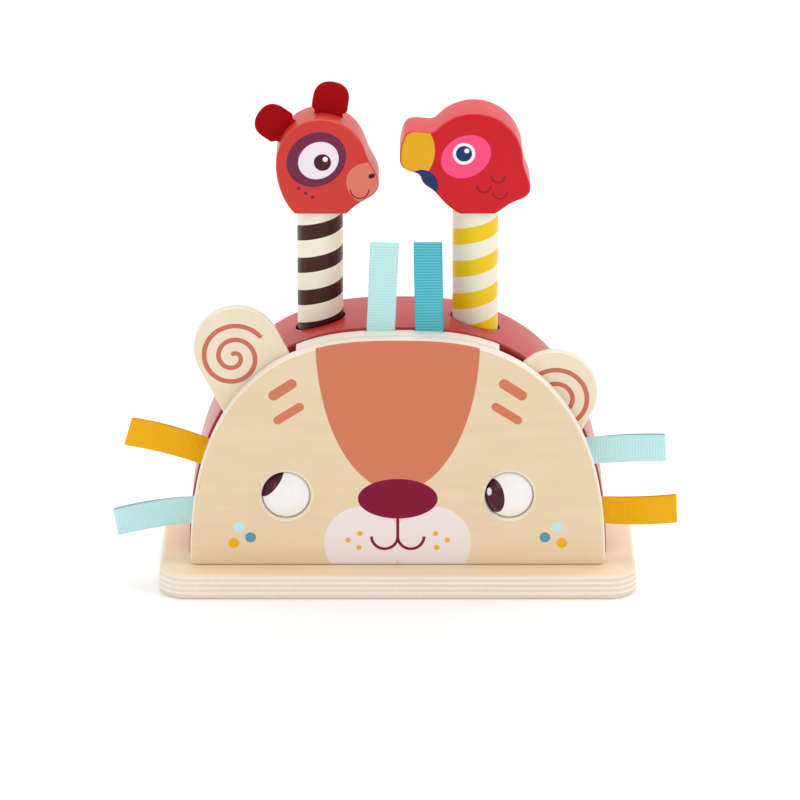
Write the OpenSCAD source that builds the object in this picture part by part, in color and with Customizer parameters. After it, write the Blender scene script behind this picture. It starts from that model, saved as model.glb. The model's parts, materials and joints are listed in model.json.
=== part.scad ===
// Pop up animal toy: a plywood base board carries an arched face panel with
// rolling eyes and push-in ears, and behind it a hollow arched housing in which
// two sprung posts with animal heads go down when pressed and come up again.
// X runs to the right, Y away from the face, Z up. The origin is the middle of
// the base board's underside. All sizes are in millimetres.

/* [Base board] */
// Width of the base board
base_w = 240; // [232:1:260]
// Depth of the base board
base_d = 105; // [96:1:120]
// Thickness of the base board
base_t = 12.5; // [9:0.5:16]
// Radius of the base board's corners
base_corner_r = 15; // [8:1:25]
// Rounding of the base board's edges
base_edge_r = 2.5; // [1:0.5:4]

/* [Arch] */
// Width of the housing across its foot
body_w = 211; // [208:0.5:214]
// How far the face panel stops short of the housing at each side
panel_short = 1; // [0:0.25:2]
// Height of the face panel above the base board
arch_h = 118.5; // [114:0.5:124]
// Squareness of the face panel's sides, 2 for a plain ellipse
panel_side_power = 2.73; // [2.65:0.01:2.9]
// Squareness of the face panel's top, 2 for a plain ellipse
panel_top_power = 2.33; // [2.28:0.01:2.45]
// Squareness of the housing's sides
body_side_power = 2.6; // [2.5:0.01:3]
// Squareness of the housing's top
body_top_power = 2.27; // [2.2:0.01:2.5]
// How much higher the housing is than the face panel
body_rise = 1.4; // [0:0.1:2]

/* [Face panel] */
// Thickness of the face panel
panel_t = 9.5; // [8:0.5:12]
// Rounding of the face panel's edges
panel_edge_r = 2; // [1:0.5:3]
// Distance of each eye from the middle
eye_x = 56; // [52:0.5:60]
// Height of the eyes above the base board
eye_h = 37.1; // [34:0.1:40]
// Radius of the eye holes
eye_hole_r = 12.2; // [11.4:0.1:12.4]
// Rounding of the eye holes' front edges
eye_hole_edge_r = 1.6; // [1:0.1:2]
// Width of the rims that hold the eye balls back
eye_rim_t = 0.8; // [0.6:0.1:1.2]

/* [Spacers] */
// Space between the face panel and the housing
gap_t = 9; // [8.6:0.2:12]
// Half width of the top spacer
top_spacer_half = 50.8; // [46:0.2:51]
// Height of the top spacer, from its underside to the face panel's crown
top_spacer_h = 13.5; // [11.5:0.5:15]
// Height of the side spacers
side_spacer_h = 56; // [54:0.5:56.5]
// Distance of the side spacers from the face panel's outline
side_spacer_inset = 3; // [2:0.5:3.5]
// Width of the side spacers
side_spacer_w = 6; // [5:0.5:6]
// Half width of the bottom spacer
bottom_spacer_half = 86; // [60:1:88]
// Height of the bottom spacer
bottom_spacer_h = 16; // [10:0.5:18]

/* [Housing] */
// Depth of the housing from front to back
body_d = 54; // [53:0.5:60]
// Thickness of the arched wall
wall_t = 9; // [8:0.5:10]
// Thickness of the front and back boards
board_t = 6; // [5:0.5:7]
// Rounding of the housing's edges
body_edge_r = 1.6; // [1:0.1:2.5]
// Height of the guide shelf's underside above the base board
shelf_h = 83.5; // [80:0.5:86]
// Thickness of the guide shelf
shelf_t = 8; // [6:0.5:9]

/* [Eyes] */
// Radius of the eye balls
ball_r = 13; // [12.8:0.1:13.3]
// Looseness of an eye ball between the panel and its cup
ball_play = 0.4; // [0.3:0.1:0.8]
// Wall of the eye cups
cup_wall = 1.8; // [1.2:0.1:2]
// Radius of the eye cups' flanges
cup_flange_r = 20; // [18:0.5:22]

/* [Ears] */
// Width of an ear
ear_w = 43.5; // [40:0.5:44]
// Thickness of an ear
ear_t = 6.2; // [5:0.1:6.2]
// Length of an ear from the middle of its round end to its foot
ear_l = 38; // [36:0.5:39]
// Lean of an ear from the upright
ear_lean = 27.5; // [25:0.5:29]
// Distance of the round end from the middle of the toy, ear pushed in
ear_in_x = 78.2; // [77.5:0.1:80]
// Height of the round end above the base board, ear pushed in
ear_in_h = 87.9; // [87.4:0.1:89.5]
// How far an ear slides
ear_travel = 23.2; // [18:0.1:24]
// Lean of the line on which an ear slides
ear_slide_lean = 5; // [3:0.5:6]
// Radius of the peg that guides an ear
ear_peg_r = 2.5; // [2:0.1:3]
// Distance of the peg from the middle of the round end
ear_peg_l = 31; // [30:0.5:32]
// Radius of the felt pad behind an ear
ear_pad_r = 7; // [5:0.5:7]
// Gap between an ear and the face panel
ear_play = 0.4; // [0.3:0.1:0.6]

/* [Posts] */
// Diameter of the posts
post_d = 23; // [20:0.5:24]
// Length of the posts
post_l = 105; // [102:0.5:112]
// Distance of each post from the middle
post_x = 39; // [37.5:0.5:40]
// Radial looseness of a post in its holes
post_play = 1.1; // [0.4:0.1:1.3]
// How far a post goes down
post_travel = 48; // [38:1:50]
// Radius of the stop pins
stop_pin_r = 2; // [1.5:0.1:2.5]
// Half length of the stop pins
stop_pin_half = 14.5; // [13.5:0.1:14.8]
// Radius of the dowels between the posts and the heads
head_dowel_r = 5; // [4:0.5:6]
// Length of the dowels between the posts and the heads
head_dowel_l = 36; // [28:1:40]

/* [Springs] */
// Length of a spring with its post up
spring_l = 66; // [64:0.5:68]
// Radius of a spring, measured to the middle of its wire
spring_r = 9; // [8.5:0.1:9.5]
// Radius of the spring wire
wire_r = 0.65; // [0.5:0.05:0.8]
// Turns of a spring
spring_turns = 9; // [7:1:10]
// Thickness of the spring seats and of the spring caps
seat_t = 2; // [1.5:0.1:2.5]
// Height of the noses that centre a spring
seat_nose_h = 5; // [4:0.5:6]
// Radius of the pivots on which the posts turn
pivot_r = 3; // [2.5:0.1:3.5]
// Height of the pivots
pivot_h = 7; // [5:0.5:7.5]

/* [Heads] */
// Thickness of the heads
head_t = 29; // [24:0.5:31]
// Rounding of the heads' edges
head_edge_r = 2; // [1:0.5:2.5]
// Radius of the left head's skull
left_skull_r = 22.5; // [21:0.5:24]
// How far the left head's snout stands out from its skull
left_snout_l = 7.6; // [4:0.2:10]
// How far the left head's chin stands out from its skull
left_chin_l = 9.5; // [5:0.5:10]
// Radius of the right head's skull
right_skull_r = 24.2; // [22:0.2:25]
// How far the right head's upper beak stands out from its skull
beak_l = 12.8; // [8:0.2:14]
// How far the right head's lower beak stands out from its skull
lower_beak_l = 3.5; // [2:0.5:6]
// How far the right head's nape stands out from its skull
nape_l = 6.5; // [3:0.5:8]
// How far the right head's throat stands out from its skull
throat_l = 6; // [4:0.5:9]
// Thickness of the felt ears
felt_t = 2.4; // [1.6:0.1:2.6]
// Width of the felt ears
felt_w = 18; // [16:0.5:19]
// Length of the felt ears that shows
felt_l = 16; // [14:0.5:18]
// Depth of the slots in which the felt ears are glued
felt_slot_l = 6; // [4:0.5:7]

/* [Ribbons] */
// Width of the ribbons
ribbon_w = 14.6; // [12:0.1:16]
// Thickness of one layer of ribbon
ribbon_t = 0.5; // [0.4:0.1:0.6]
// Half thickness of a ribbon loop at its open end
ribbon_bulge = 1.5; // [1:0.1:1.9]
// Length of the ribbons on the left
left_ribbon_l = 39.5; // [30:0.5:45]
// Length of the ribbons on the right
right_ribbon_l = 37.5; // [30:0.5:45]
// Length of the top ribbons
top_ribbon_l = 46.5; // [35:0.5:50]
// Length of ribbon held behind the spacers
ribbon_tail_l = 9; // [7:0.5:9]

/* [Screws] */
// Radius of the screws
screw_r = 1.9; // [1.5:0.1:2.2]
// Radius of the screw heads
screw_head_r = 3.8; // [3:0.1:4]
// Length of the screws
screw_l = 26; // [24:0.5:27]

/* [Hidden] */

$fn = 48;
LEFT = -1;
RIGHT = 1;

// Clearances: between glued faces, between a peg and its hole, and between
// pieces that pass each other
glue = 0.05;
fit = 0.05;
pass = 0.3;

// Places from front to back: the layers lie in the middle of the base board
front_y = -(panel_t + gap_t + body_d) / 2;
gap_y = front_y + panel_t;
body_y = gap_y + gap_t;
back_y = body_y + body_d;
post_y = (body_y + back_y) / 2;

// The eye balls rest behind the rims of their holes, and a cup closes each
// hole from behind
rim_y = front_y + eye_hole_edge_r + eye_rim_t;
ball_y = rim_y + sqrt(ball_r * ball_r - eye_hole_r * eye_hole_r) + ball_play;
ball_seat_r = ball_r + ball_play;
cup_r = ball_seat_r - fit;
cup_lip_t = 1.2;
cup_y = ball_y + sqrt(ball_seat_r * ball_seat_r - (cup_r - cup_lip_t) * (cup_r - cup_lip_t));
eye_z = base_t + eye_h;

// Levels of the posts, springs and guides
seat_top = base_t + seat_t;
cap_z = seat_top + spring_l;
post_z = cap_z + seat_t;
post_top = post_z + post_l;
post_hole_r = post_d / 2 + post_play;
shelf_z = base_t + shelf_h;
stop_z = shelf_z - pass - stop_pin_r;

// Sideways lean of the ribbons, upright or outward, in degrees
top_left_lean = 2.5;
top_right_lean = -1;
upper_left_lean = 16;
lower_left_lean = -9;
upper_right_lean = 3;
lower_right_lean = 2;
// Width of the face panel across its foot
panel_w = body_w - 2 * panel_short;
// Where the ribbons leave the arch
top_left_ribbon_x = -8.5;
top_right_ribbon_x = 15.8;
upper_ribbon_h = 55;
lower_ribbon_h = 23.5;

// An arch is given by its width w, the squareness of its sides and of its top,
// and its height h. Height of an arch at x, and half width of it at height z
function arch_z(x, w, side, top, h) = h * pow(1 - pow(abs(x) / (w / 2), side), 1 / top);
function arch_x(z, w, side, top, h) = w / 2 * pow(1 - pow(z / h, top), 1 / side);

// Outward direction of the arch at a point of its right half
function arch_normal(p, w, side, top, h) =
    let (nx = side / (w / 2) * pow(p[0] / (w / 2), side - 1))
    let (nz = top / h * pow(p[1] / h, top - 1))
    [nx, nz] / norm([nx, nz]);

// Right half of the arch, evenly stepped up the side and then across the top.
// The two stretches meet where the side and the top share the curve equally.
arch_steps = 12;
function arch_half(w, side, top, h) =
    let (mid_x = w / 2 * pow(0.5, 1 / side))
    let (mid_z = h * pow(0.5, 1 / top))
    concat(
        [for (i = [0 : arch_steps - 1])
            let (z = mid_z * i / arch_steps)
            [arch_x(z, w, side, top, h), z]],
        [for (i = [0 : arch_steps])
            let (x = mid_x * (1 - i / arch_steps))
            [x, arch_z(x, w, side, top, h)]]
    );

// Whole arch, moved inwards by a distance and with its foot lifted: the right
// half and its mirror image, counterclockwise as seen from the front
function arch_outline(w, side, top, h, inset, foot) =
    let (half = [
        for (p = arch_half(w, side, top, h))
            let (q = p - inset * arch_normal(p, w, side, top, h))
            [q[0], max(q[1], foot)]
    ])
    concat(half, [for (i = [len(half) - 2 : -1 : 0]) [-half[i][0], half[i][1]]]);

function panel_outline(inset = 0, foot = 0) =
    arch_outline(panel_w, panel_side_power, panel_top_power, arch_h, inset, foot);

function body_outline(inset = 0, foot = 0) =
    arch_outline(body_w, body_side_power, body_top_power, arch_h + body_rise, inset, foot);

// Stands a drawing up on the base board, thickness t going back from y
module stand(y, t) {
    translate([0, y + t, base_t])
        rotate([90, 0, 0])
            linear_extrude(t)
                children();
}

// A cylinder that runs from front to back
module across_y(x, y, z, r, l) {
    translate([x, y + l, z])
        rotate([90, 0, 0])
            cylinder(r = r, h = l);
}

// A plate with rounded edges is lofted through copies of its outline. Each copy
// is a step [inset, depth]: how far it is moved inwards, and how deep it lies.
edge_steps = 4;
function edge_rings(r, t) = concat(
    [for (i = [0 : edge_steps]) [r * (1 - sin(90 * i / edge_steps)), r * (1 - cos(90 * i / edge_steps))]],
    [for (i = [edge_steps : -1 : 0])
        [r * (1 - sin(90 * i / edge_steps)), t - r * (1 - cos(90 * i / edge_steps))]]
);

// Solid through rings of points with equal counts. Each ring lies behind the
// one before it and is counterclockwise as seen from the front.
module loft(rings) {
    count = len(rings[0]);
    last = len(rings) - 1;
    walls = [
        for (k = [0 : last - 1], i = [0 : count - 1])
            let (here = k * count + i)
            let (next = k * count + (i + 1) % count)
            each [[here, next, next + count], [here, next + count, here + count]]
    ];
    front = [for (i = [count - 1 : -1 : 0]) i];
    back = [for (i = [0 : count - 1]) last * count + i];
    polyhedron(points = [for (ring = rings) each ring], faces = concat(walls, [front, back]), convexity = 6);
}

// A point [x, z] of a drawing, set at depth y and lifted by z
function set_at(p, y, lift) = [p[0], y, p[1] + lift];

// ---- Base board ----

corner_steps = 8;

// Rounded rectangle, moved inwards by a distance, starting at the right
function base_outline(inset) = [
    for (quarter = [0 : 3], i = [0 : corner_steps])
        let (a = 90 * (quarter + i / corner_steps))
        let (sx = quarter == 0 || quarter == 3 ? 1 : -1)
        let (sy = quarter < 2 ? 1 : -1)
        [sx * (base_w / 2 - base_corner_r) + (base_corner_r - inset) * cos(a),
         sy * (base_d / 2 - base_corner_r) + (base_corner_r - inset) * sin(a)]
];

// The screws go up into the housing's two legs and into the bottom spacer
screw_leg_x = body_w / 2 - wall_t / 2;
screw_leg_y = body_d * 0.3;
screw_spacer_x = 46;
screw_sink = 0.3;
SCREWS = [
    for (sx = [-1, 1], sy = [-1, 1]) [sx * screw_leg_x, post_y + sy * screw_leg_y],
    for (sx = [-1, 1]) [sx * screw_spacer_x, gap_y + gap_t / 2]
];

module screw_shape(grow) {
    head_h = screw_head_r - screw_r;
    cylinder(r1 = screw_head_r + grow, r2 = screw_r + grow, h = head_h);
    cylinder(r = screw_r + grow, h = screw_l + grow);
}

module screw_holes() {
    for (p = SCREWS)
        translate([p[0], p[1], screw_sink])
            screw_shape(fit);
}

module base_board() {
    color("wheat")
        difference() {
            // The rings are drawn standing and laid down: front becomes top
            rotate([-90, 0, 0])
                loft([
                    for (step = edge_rings(base_edge_r, base_t))
                        [for (p = base_outline(step[0])) set_at(p, step[1] - base_t, 0)]
                ]);
            screw_holes();
            for (p = SCREWS)
                translate([p[0], p[1], -1])
                    cylinder(r = screw_head_r + fit, h = 1 + screw_sink);
        }
}

module base_screws() {
    color("silver")
        for (p = SCREWS)
            translate([p[0], p[1], screw_sink])
                screw_shape(0);
}

// ---- Face panel and spacers ----

module eye_hole(side) {
    // The straight hole, the wider bore behind its rim, then the flare that
    // rounds its front edge
    across_y(side * eye_x, front_y - 1, eye_z, eye_hole_r, panel_t + 2);
    across_y(side * eye_x, rim_y, eye_z, ball_seat_r, panel_t);
    translate([side * eye_x, front_y, eye_z])
        rotate([-90, 0, 0])
            rotate_extrude()
                difference() {
                    square([eye_hole_r + eye_hole_edge_r, eye_hole_edge_r]);
                    translate([eye_hole_r + eye_hole_edge_r, eye_hole_edge_r])
                        circle(r = eye_hole_edge_r);
                }
}

module front_panel() {
    color("bisque")
        difference() {
            loft([
                for (step = edge_rings(panel_edge_r, panel_t))
                    [for (p = panel_outline(step[0], step[0])) set_at(p, front_y + step[1], base_t)]
            ]);
            eye_hole(LEFT);
            eye_hole(RIGHT);
        }
}

// Pocket that a ribbon's tail fills, cut into a spacer from behind
module ribbon_pocket(x, z, angle) {
    depth = 2 * ribbon_t + 2 * glue;
    width = ribbon_w + 2 * pass;
    length = ribbon_tail_l + pass;
    translate([x, body_y - depth, z])
        rotate([0, angle, 0])
            translate([-width / 2, 0, -length])
                cube([width, depth + 1, length + 8]);
}

module top_spacer() {
    color("wheat")
        difference() {
            stand(gap_y, gap_t)
                intersection() {
                    polygon(panel_outline());
                    translate([-top_spacer_half, arch_h - top_spacer_h])
                        square([2 * top_spacer_half, arch_h]);
                }
            ribbon_pocket(top_left_ribbon_x, top_left_z, top_left_lean);
            ribbon_pocket(top_right_ribbon_x, top_right_z, top_right_lean);
        }
}

module bottom_spacer() {
    color("wheat")
        difference() {
            stand(gap_y, gap_t)
                translate([-bottom_spacer_half, 0])
                    square([2 * bottom_spacer_half, bottom_spacer_h]);
            screw_holes();
        }
}

module side_spacer(side) {
    upper_lean = side == LEFT ? upper_left_lean : upper_right_lean;
    lower_lean = side == LEFT ? lower_left_lean : lower_right_lean;
    color("wheat")
        difference() {
            stand(gap_y, gap_t)
                intersection() {
                    difference() {
                        polygon(panel_outline(side_spacer_inset));
                        polygon(panel_outline(side_spacer_inset + side_spacer_w));
                    }
                    translate([side == LEFT ? -panel_w : 0, 0])
                        square([panel_w, side_spacer_h]);
                }
            ribbon_pocket(side * upper_ribbon_x, upper_ribbon_z, side * (90 - upper_lean));
            ribbon_pocket(side * lower_ribbon_x, lower_ribbon_z, side * (90 - lower_lean));
        }
}

module left_side_spacer() {
    side_spacer(LEFT);
}

module right_side_spacer() {
    side_spacer(RIGHT);
}

// ---- Housing ----

module body_arch() {
    color("indianred")
        difference() {
            loft([
                for (step = edge_rings(body_edge_r, body_d))
                    [for (p = body_outline(step[0])) set_at(p, body_y + step[1], base_t)]
            ]);
            stand(body_y - 1, body_d + 2)
                polygon(body_outline(wall_t, -1));
            for (side = [LEFT, RIGHT])
                translate([side * post_x, post_y, shelf_z])
                    cylinder(r = post_hole_r, h = arch_h);
            screw_holes();
        }
}

module housing_board(y) {
    stand(y, board_t)
        polygon(body_outline(wall_t + glue));
}

// Slot in the front board in which an ear's peg slides
module ear_slot(side) {
    slot_r = ear_peg_r + pass;
    x = side * (ear_in_x - ear_peg_l * sin(ear_lean));
    z = base_t + ear_in_h - ear_peg_l * cos(ear_lean);
    translate([x, body_y - 1, z])
        rotate([0, side * ear_slide_lean, 0]) {
            across_y(0, 0, 0, slot_r, board_t + 2);
            across_y(0, 0, ear_travel, slot_r, board_t + 2);
            translate([-slot_r, 0, 0])
                cube([2 * slot_r, board_t + 2, ear_travel]);
        }
}

module body_front_board() {
    color("firebrick")
        difference() {
            housing_board(body_y);
            for (side = [LEFT, RIGHT]) {
                across_y(side * eye_x, body_y - 1, eye_z, ball_seat_r, board_t + 2);
                ear_slot(side);
            }
        }
}

module body_back_board() {
    color("indianred")
        housing_board(back_y - board_t);
}

module guide_shelf() {
    depth = body_d - 2 * board_t - 2 * glue;
    color("burlywood")
        difference() {
            intersection() {
                stand(body_y + board_t + glue, depth)
                    polygon(body_outline(wall_t + glue));
                translate([-body_w, body_y, shelf_z])
                    cube([2 * body_w, body_d, shelf_t]);
            }
            for (side = [LEFT, RIGHT])
                translate([side * post_x, post_y, shelf_z - 1])
                    cylinder(r = post_hole_r, h = shelf_t + 2);
        }
}

// ---- Eyes ----

module eye_ball(side) {
    color("white")
        translate([side * eye_x, ball_y, eye_z])
            sphere(r = ball_r);
}

module left_eye_ball() {
    eye_ball(LEFT);
}

module right_eye_ball() {
    eye_ball(RIGHT);
}

// A thin cup that reaches through the front board to the back of the ball, with
// a flange that is glued behind the board
module eye_cup(side) {
    flange_y = body_y + board_t + glue;
    cup_back_y = flange_y + cup_wall;
    color("ghostwhite")
        difference() {
            union() {
                across_y(side * eye_x, flange_y, eye_z, cup_flange_r, cup_wall);
                across_y(side * eye_x, cup_y, eye_z, cup_r, cup_back_y - cup_y);
            }
            translate([side * eye_x, ball_y, eye_z])
                sphere(r = ball_seat_r);
            difference() {
                across_y(side * eye_x, cup_y, eye_z, cup_r - cup_wall, cup_back_y - cup_y + 1);
                translate([side * eye_x, ball_y, eye_z])
                    sphere(r = ball_seat_r + cup_wall);
            }
        }
}

module left_eye_cup() {
    eye_cup(LEFT);
}

module right_eye_cup() {
    eye_cup(RIGHT);
}

// ---- Ears ----

// The left ear is out and the right ear is pushed in
function ear_slide(side) = side == LEFT ? ear_travel : 0;
function ear_x(side) = side * (ear_in_x + ear_slide(side) * sin(ear_slide_lean));
function ear_z(side) = base_t + ear_in_h + ear_slide(side) * cos(ear_slide_lean);

ear_y = gap_y + ear_play;
pad_y = ear_y + ear_t;
pad_t = gap_t - ear_play - ear_t - pass;

// Puts a drawing made on an upright ear, round end up, where the ear is
module at_ear(side) {
    translate([ear_x(side), 0, ear_z(side)])
        rotate([0, side * ear_lean, 0])
            children();
}

ear_foot_r = 5;
ear_edge_r = 1.2;
ear_round_steps = 20;
ear_foot_steps = 5;

// Tongue with a round top and round foot corners, moved inwards by a distance
function ear_outline(inset) = concat(
    [for (i = [0 : ear_round_steps])
        let (a = 180 * i / ear_round_steps)
        (ear_w / 2 - inset) * [cos(a), sin(a)]],
    [for (sx = [-1, 1], i = [0 : ear_foot_steps])
        let (a = (sx < 0 ? 180 : 270) + 90 * i / ear_foot_steps)
        [sx * (ear_w / 2 - ear_foot_r), ear_foot_r - ear_l] + (ear_foot_r - inset) * [cos(a), sin(a)]]
);

module ear(side) {
    color("bisque")
        difference() {
            at_ear(side)
                loft([
                    for (step = edge_rings(ear_edge_r, ear_t))
                        [for (p = ear_outline(step[0])) set_at(p, ear_y + step[1], 0)]
                ]);
            at_ear(side)
                across_y(0, peg_y, -ear_peg_l, ear_peg_r + fit, ear_t);
        }
}

module left_ear() {
    ear(LEFT);
}

module right_ear() {
    ear(RIGHT);
}

// The peg starts inside the ear and reaches through the front board
peg_y = ear_y + 1.5;
peg_l = body_y + board_t - peg_y;

module ear_peg(side) {
    color("burlywood")
        at_ear(side)
            across_y(0, peg_y, -ear_peg_l, ear_peg_r, peg_l);
}

module left_ear_peg() {
    ear_peg(LEFT);
}

module right_ear_peg() {
    ear_peg(RIGHT);
}

module ear_pad(side) {
    color("dimgray")
        at_ear(side)
            difference() {
                across_y(0, pad_y, -ear_peg_l, ear_pad_r, pad_t);
                across_y(0, pad_y - 1, -ear_peg_l, ear_peg_r + fit, pad_t + 2);
            }
}

module left_ear_pad() {
    ear_pad(LEFT);
}

module right_ear_pad() {
    ear_pad(RIGHT);
}

// ---- Posts ----

pivot_play = 0.05;
pivot_bore_l = pivot_h + 0.5;

module post(side, tint) {
    half_dowel = head_dowel_l / 2 + fit;
    color(tint)
        translate([side * post_x, post_y, 0])
            difference() {
                translate([0, 0, post_z])
                    cylinder(r = post_d / 2, h = post_l);
                translate([0, 0, post_z - 1])
                    cylinder(r = pivot_r + pivot_play, h = pivot_bore_l + 1);
                translate([0, 0, post_top - half_dowel])
                    cylinder(r = head_dowel_r + fit, h = half_dowel + 1);
                translate([-post_d, 0, stop_z])
                    rotate([0, 90, 0])
                        cylinder(r = stop_pin_r + fit, h = 2 * post_d);
            }
}

module left_post() {
    post(LEFT, "saddlebrown");
}

module right_post() {
    post(RIGHT, "gold");
}

module stop_pin(side) {
    color("silver")
        translate([side * post_x - stop_pin_half, post_y, stop_z])
            rotate([0, 90, 0])
                cylinder(r = stop_pin_r, h = 2 * stop_pin_half);
}

module left_stop_pin() {
    stop_pin(LEFT);
}

module right_stop_pin() {
    stop_pin(RIGHT);
}

module head_dowel(side) {
    color("burlywood")
        translate([side * post_x, post_y, post_top - head_dowel_l / 2])
            cylinder(r = head_dowel_r, h = head_dowel_l);
}

module left_head_dowel() {
    head_dowel(LEFT);
}

module right_head_dowel() {
    head_dowel(RIGHT);
}

// ---- Springs ----

// Disc with a nose that centres the spring, and for the cap also the pivot
module spring_disc(side, z, nose_up, with_pivot) {
    disc_r = spring_r + 2;
    nose_r = (spring_r - wire_r) * cos(180 / rings_per_turn) - pass;
    color("ghostwhite")
        translate([side * post_x, post_y, z]) {
            cylinder(r = disc_r, h = seat_t);
            translate([0, 0, nose_up ? 0 : -seat_nose_h])
                cylinder(r = nose_r, h = seat_t + seat_nose_h);
            if (with_pivot)
                cylinder(r = pivot_r, h = seat_t + pivot_h);
        }
}

module left_spring_seat() {
    spring_disc(LEFT, base_t, true, false);
}

module right_spring_seat() {
    spring_disc(RIGHT, base_t, true, false);
}

module left_spring_cap() {
    spring_disc(LEFT, cap_z, false, true);
}

module right_spring_cap() {
    spring_disc(RIGHT, cap_z, false, true);
}

// Six-sided wire swept round a helix. The wire's middle climbs from one wire
// radius above the seat to one wire radius below the cap.
wire_sides = 6;
rings_per_turn = 8;
spring_rings = spring_turns * rings_per_turn;
spring_rise = spring_l - 2 * wire_r;
spring_pitch = spring_rise / spring_turns;

function spring_point(i, j) =
    let (turn = 360 * i / rings_per_turn)
    let (around = 360 * j / wire_sides)
    let (r = spring_r + wire_r * cos(around))
    [r * cos(turn), r * sin(turn), wire_r * (1 + sin(around)) + spring_rise * i / spring_rings];

function wire_index(i, j) = i * wire_sides + j % wire_sides;

module helix() {
    points = [for (i = [0 : spring_rings], j = [0 : wire_sides - 1]) spring_point(i, j)];
    walls = [
        for (i = [0 : spring_rings - 1], j = [0 : wire_sides - 1])
            each [
                [wire_index(i, j), wire_index(i + 1, j), wire_index(i + 1, j + 1)],
                [wire_index(i, j), wire_index(i + 1, j + 1), wire_index(i, j + 1)]
            ]
    ];
    start_cap = [for (j = [1 : wire_sides - 2]) [wire_index(0, 0), wire_index(0, j), wire_index(0, j + 1)]];
    end_cap = [
        for (j = [1 : wire_sides - 2])
            [wire_index(spring_rings, 0), wire_index(spring_rings, j + 1), wire_index(spring_rings, j)]
    ];
    polyhedron(points = points, faces = concat(walls, start_cap, end_cap), convexity = 8);
}

echo(least_gap_between_spring_turns = spring_pitch - 2 * wire_r);

module spring(side) {
    color("lightgray")
        translate([side * post_x, post_y, seat_top])
            helix();
}

module left_spring() {
    spring(LEFT);
}

module right_spring() {
    spring(RIGHT);
}

// ---- Heads ----

// A head is drawn round the middle of its skull as a radius for each direction:
// the skull's radius plus soft bumps, and cut flat where it meets the post.
// Directions are in degrees, 0 to the right and 90 up.
head_steps = 96;

// Bell-shaped bump round one direction, 1 at its middle
function bump(a, middle, width) =
    let (off = (a - middle + 540) % 360 - 180)
    exp(-pow(off / width, 2));

// Bump with a level top and two soft flanks
function shelf(a, from, to, soft) = 1 / ((1 + exp((from - a) / soft)) * (1 + exp((a - to) / soft)));

// Outline points from the radii, measured from the post's top
function head_points(middle, radii) = [
    for (i = [0 : head_steps - 1])
        let (a = 360 * i / head_steps)
        let (p = middle + radii[i] * [cos(a), sin(a)])
        [p[0], max(p[1], 0)]
];

// The outline moved inwards, each point square to its two neighbours
function head_inset(outline, inset) = [
    for (i = [0 : head_steps - 1])
        let (along = outline[(i + 1) % head_steps] - outline[(i + head_steps - 1) % head_steps])
        outline[i] - inset * [along[1], -along[0]] / norm(along)
];

// Thick wooden cut-out with every edge rounded, its middle over the post
module cut_out(side, outline) {
    translate([side * post_x, post_y - head_t / 2, post_top])
        loft([
            for (step = edge_rings(head_edge_r, head_t))
                [for (p = head_inset(outline, step[0])) set_at(p, step[1], 0)]
        ]);
}

module dowel_socket(side) {
    translate([side * post_x, post_y, post_top - 1])
        cylinder(r = head_dowel_r + fit, h = head_dowel_l / 2 + fit + 1);
}

// Left head, seen from the side: round skull, short snout to the right, chin
left_skull = [1, 26.5];
function left_radius(a) =
    left_skull_r + left_snout_l * bump(a, -25, 20) + left_chin_l * bump(a, -93, 46);
left_outline = head_points(left_skull, [for (i = [0 : head_steps - 1]) left_radius(360 * i / head_steps)]);

// Places a felt ear: its foot on the skull at an angle from straight up
module at_felt_ear(angle) {
    translate([LEFT * post_x + left_skull[0], post_y, post_top + left_skull[1]])
        rotate([0, angle, 0])
            translate([0, 0, left_skull_r])
                children();
}

top_felt_angle = 9;
back_felt_angle = -54;

module felt_slot(angle) {
    w = felt_w - 4 + 2 * pass;
    t = felt_t + 2 * pass;
    at_felt_ear(angle)
        translate([-w / 2, -t / 2, -felt_slot_l - pass])
            cube([w, t, felt_slot_l + 3]);
}

module left_head() {
    color("tomato")
        difference() {
            cut_out(LEFT, left_outline);
            dowel_socket(LEFT);
            felt_slot(top_felt_angle);
            felt_slot(back_felt_angle);
        }
}

// Felt ear: a round-ended leaf with a narrower tab glued in the head's slot
module felt_ear(angle) {
    tab_w = felt_w - 4;
    round_r = felt_w / 2;
    rise = 0.6;
    color("crimson")
        at_felt_ear(angle)
            translate([0, felt_t / 2, 0])
                rotate([90, 0, 0])
                    linear_extrude(felt_t) {
                        translate([0, felt_l - round_r])
                            circle(r = round_r);
                        translate([-round_r, rise])
                            square([2 * round_r, felt_l - round_r - rise]);
                        translate([-tab_w / 2, -felt_slot_l])
                            square([tab_w, felt_slot_l + felt_l / 2]);
                    }
}

module top_felt_ear() {
    felt_ear(top_felt_angle);
}

module back_felt_ear() {
    felt_ear(back_felt_angle);
}

// Right head, seen from the side: round skull, hooked beak to the left with the
// small lower beak under it, nape to the right, throat
right_skull = [-1, 28];
function right_radius(a) =
    right_skull_r + beak_l * shelf(a, 151, 191, 2.6) + lower_beak_l * bump(a, 203, 12)
    + nape_l * bump(a, -31, 15) + throat_l * bump(a, -80, 45);
right_outline = head_points(right_skull, [for (i = [0 : head_steps - 1]) right_radius(360 * i / head_steps)]);

module right_head() {
    color("crimson")
        difference() {
            cut_out(RIGHT, right_outline);
            dowel_socket(RIGHT);
        }
}

// ---- Ribbons ----

// Where each ribbon leaves the panel's outline
top_left_z = base_t + arch_z(top_left_ribbon_x, panel_w, panel_side_power, panel_top_power, arch_h);
top_right_z = base_t + arch_z(top_right_ribbon_x, panel_w, panel_side_power, panel_top_power, arch_h);
upper_ribbon_x = arch_x(upper_ribbon_h, panel_w, panel_side_power, panel_top_power, arch_h);
lower_ribbon_x = arch_x(lower_ribbon_h, panel_w, panel_side_power, panel_top_power, arch_h);
upper_ribbon_z = base_t + upper_ribbon_h;
lower_ribbon_z = base_t + lower_ribbon_h;

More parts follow.
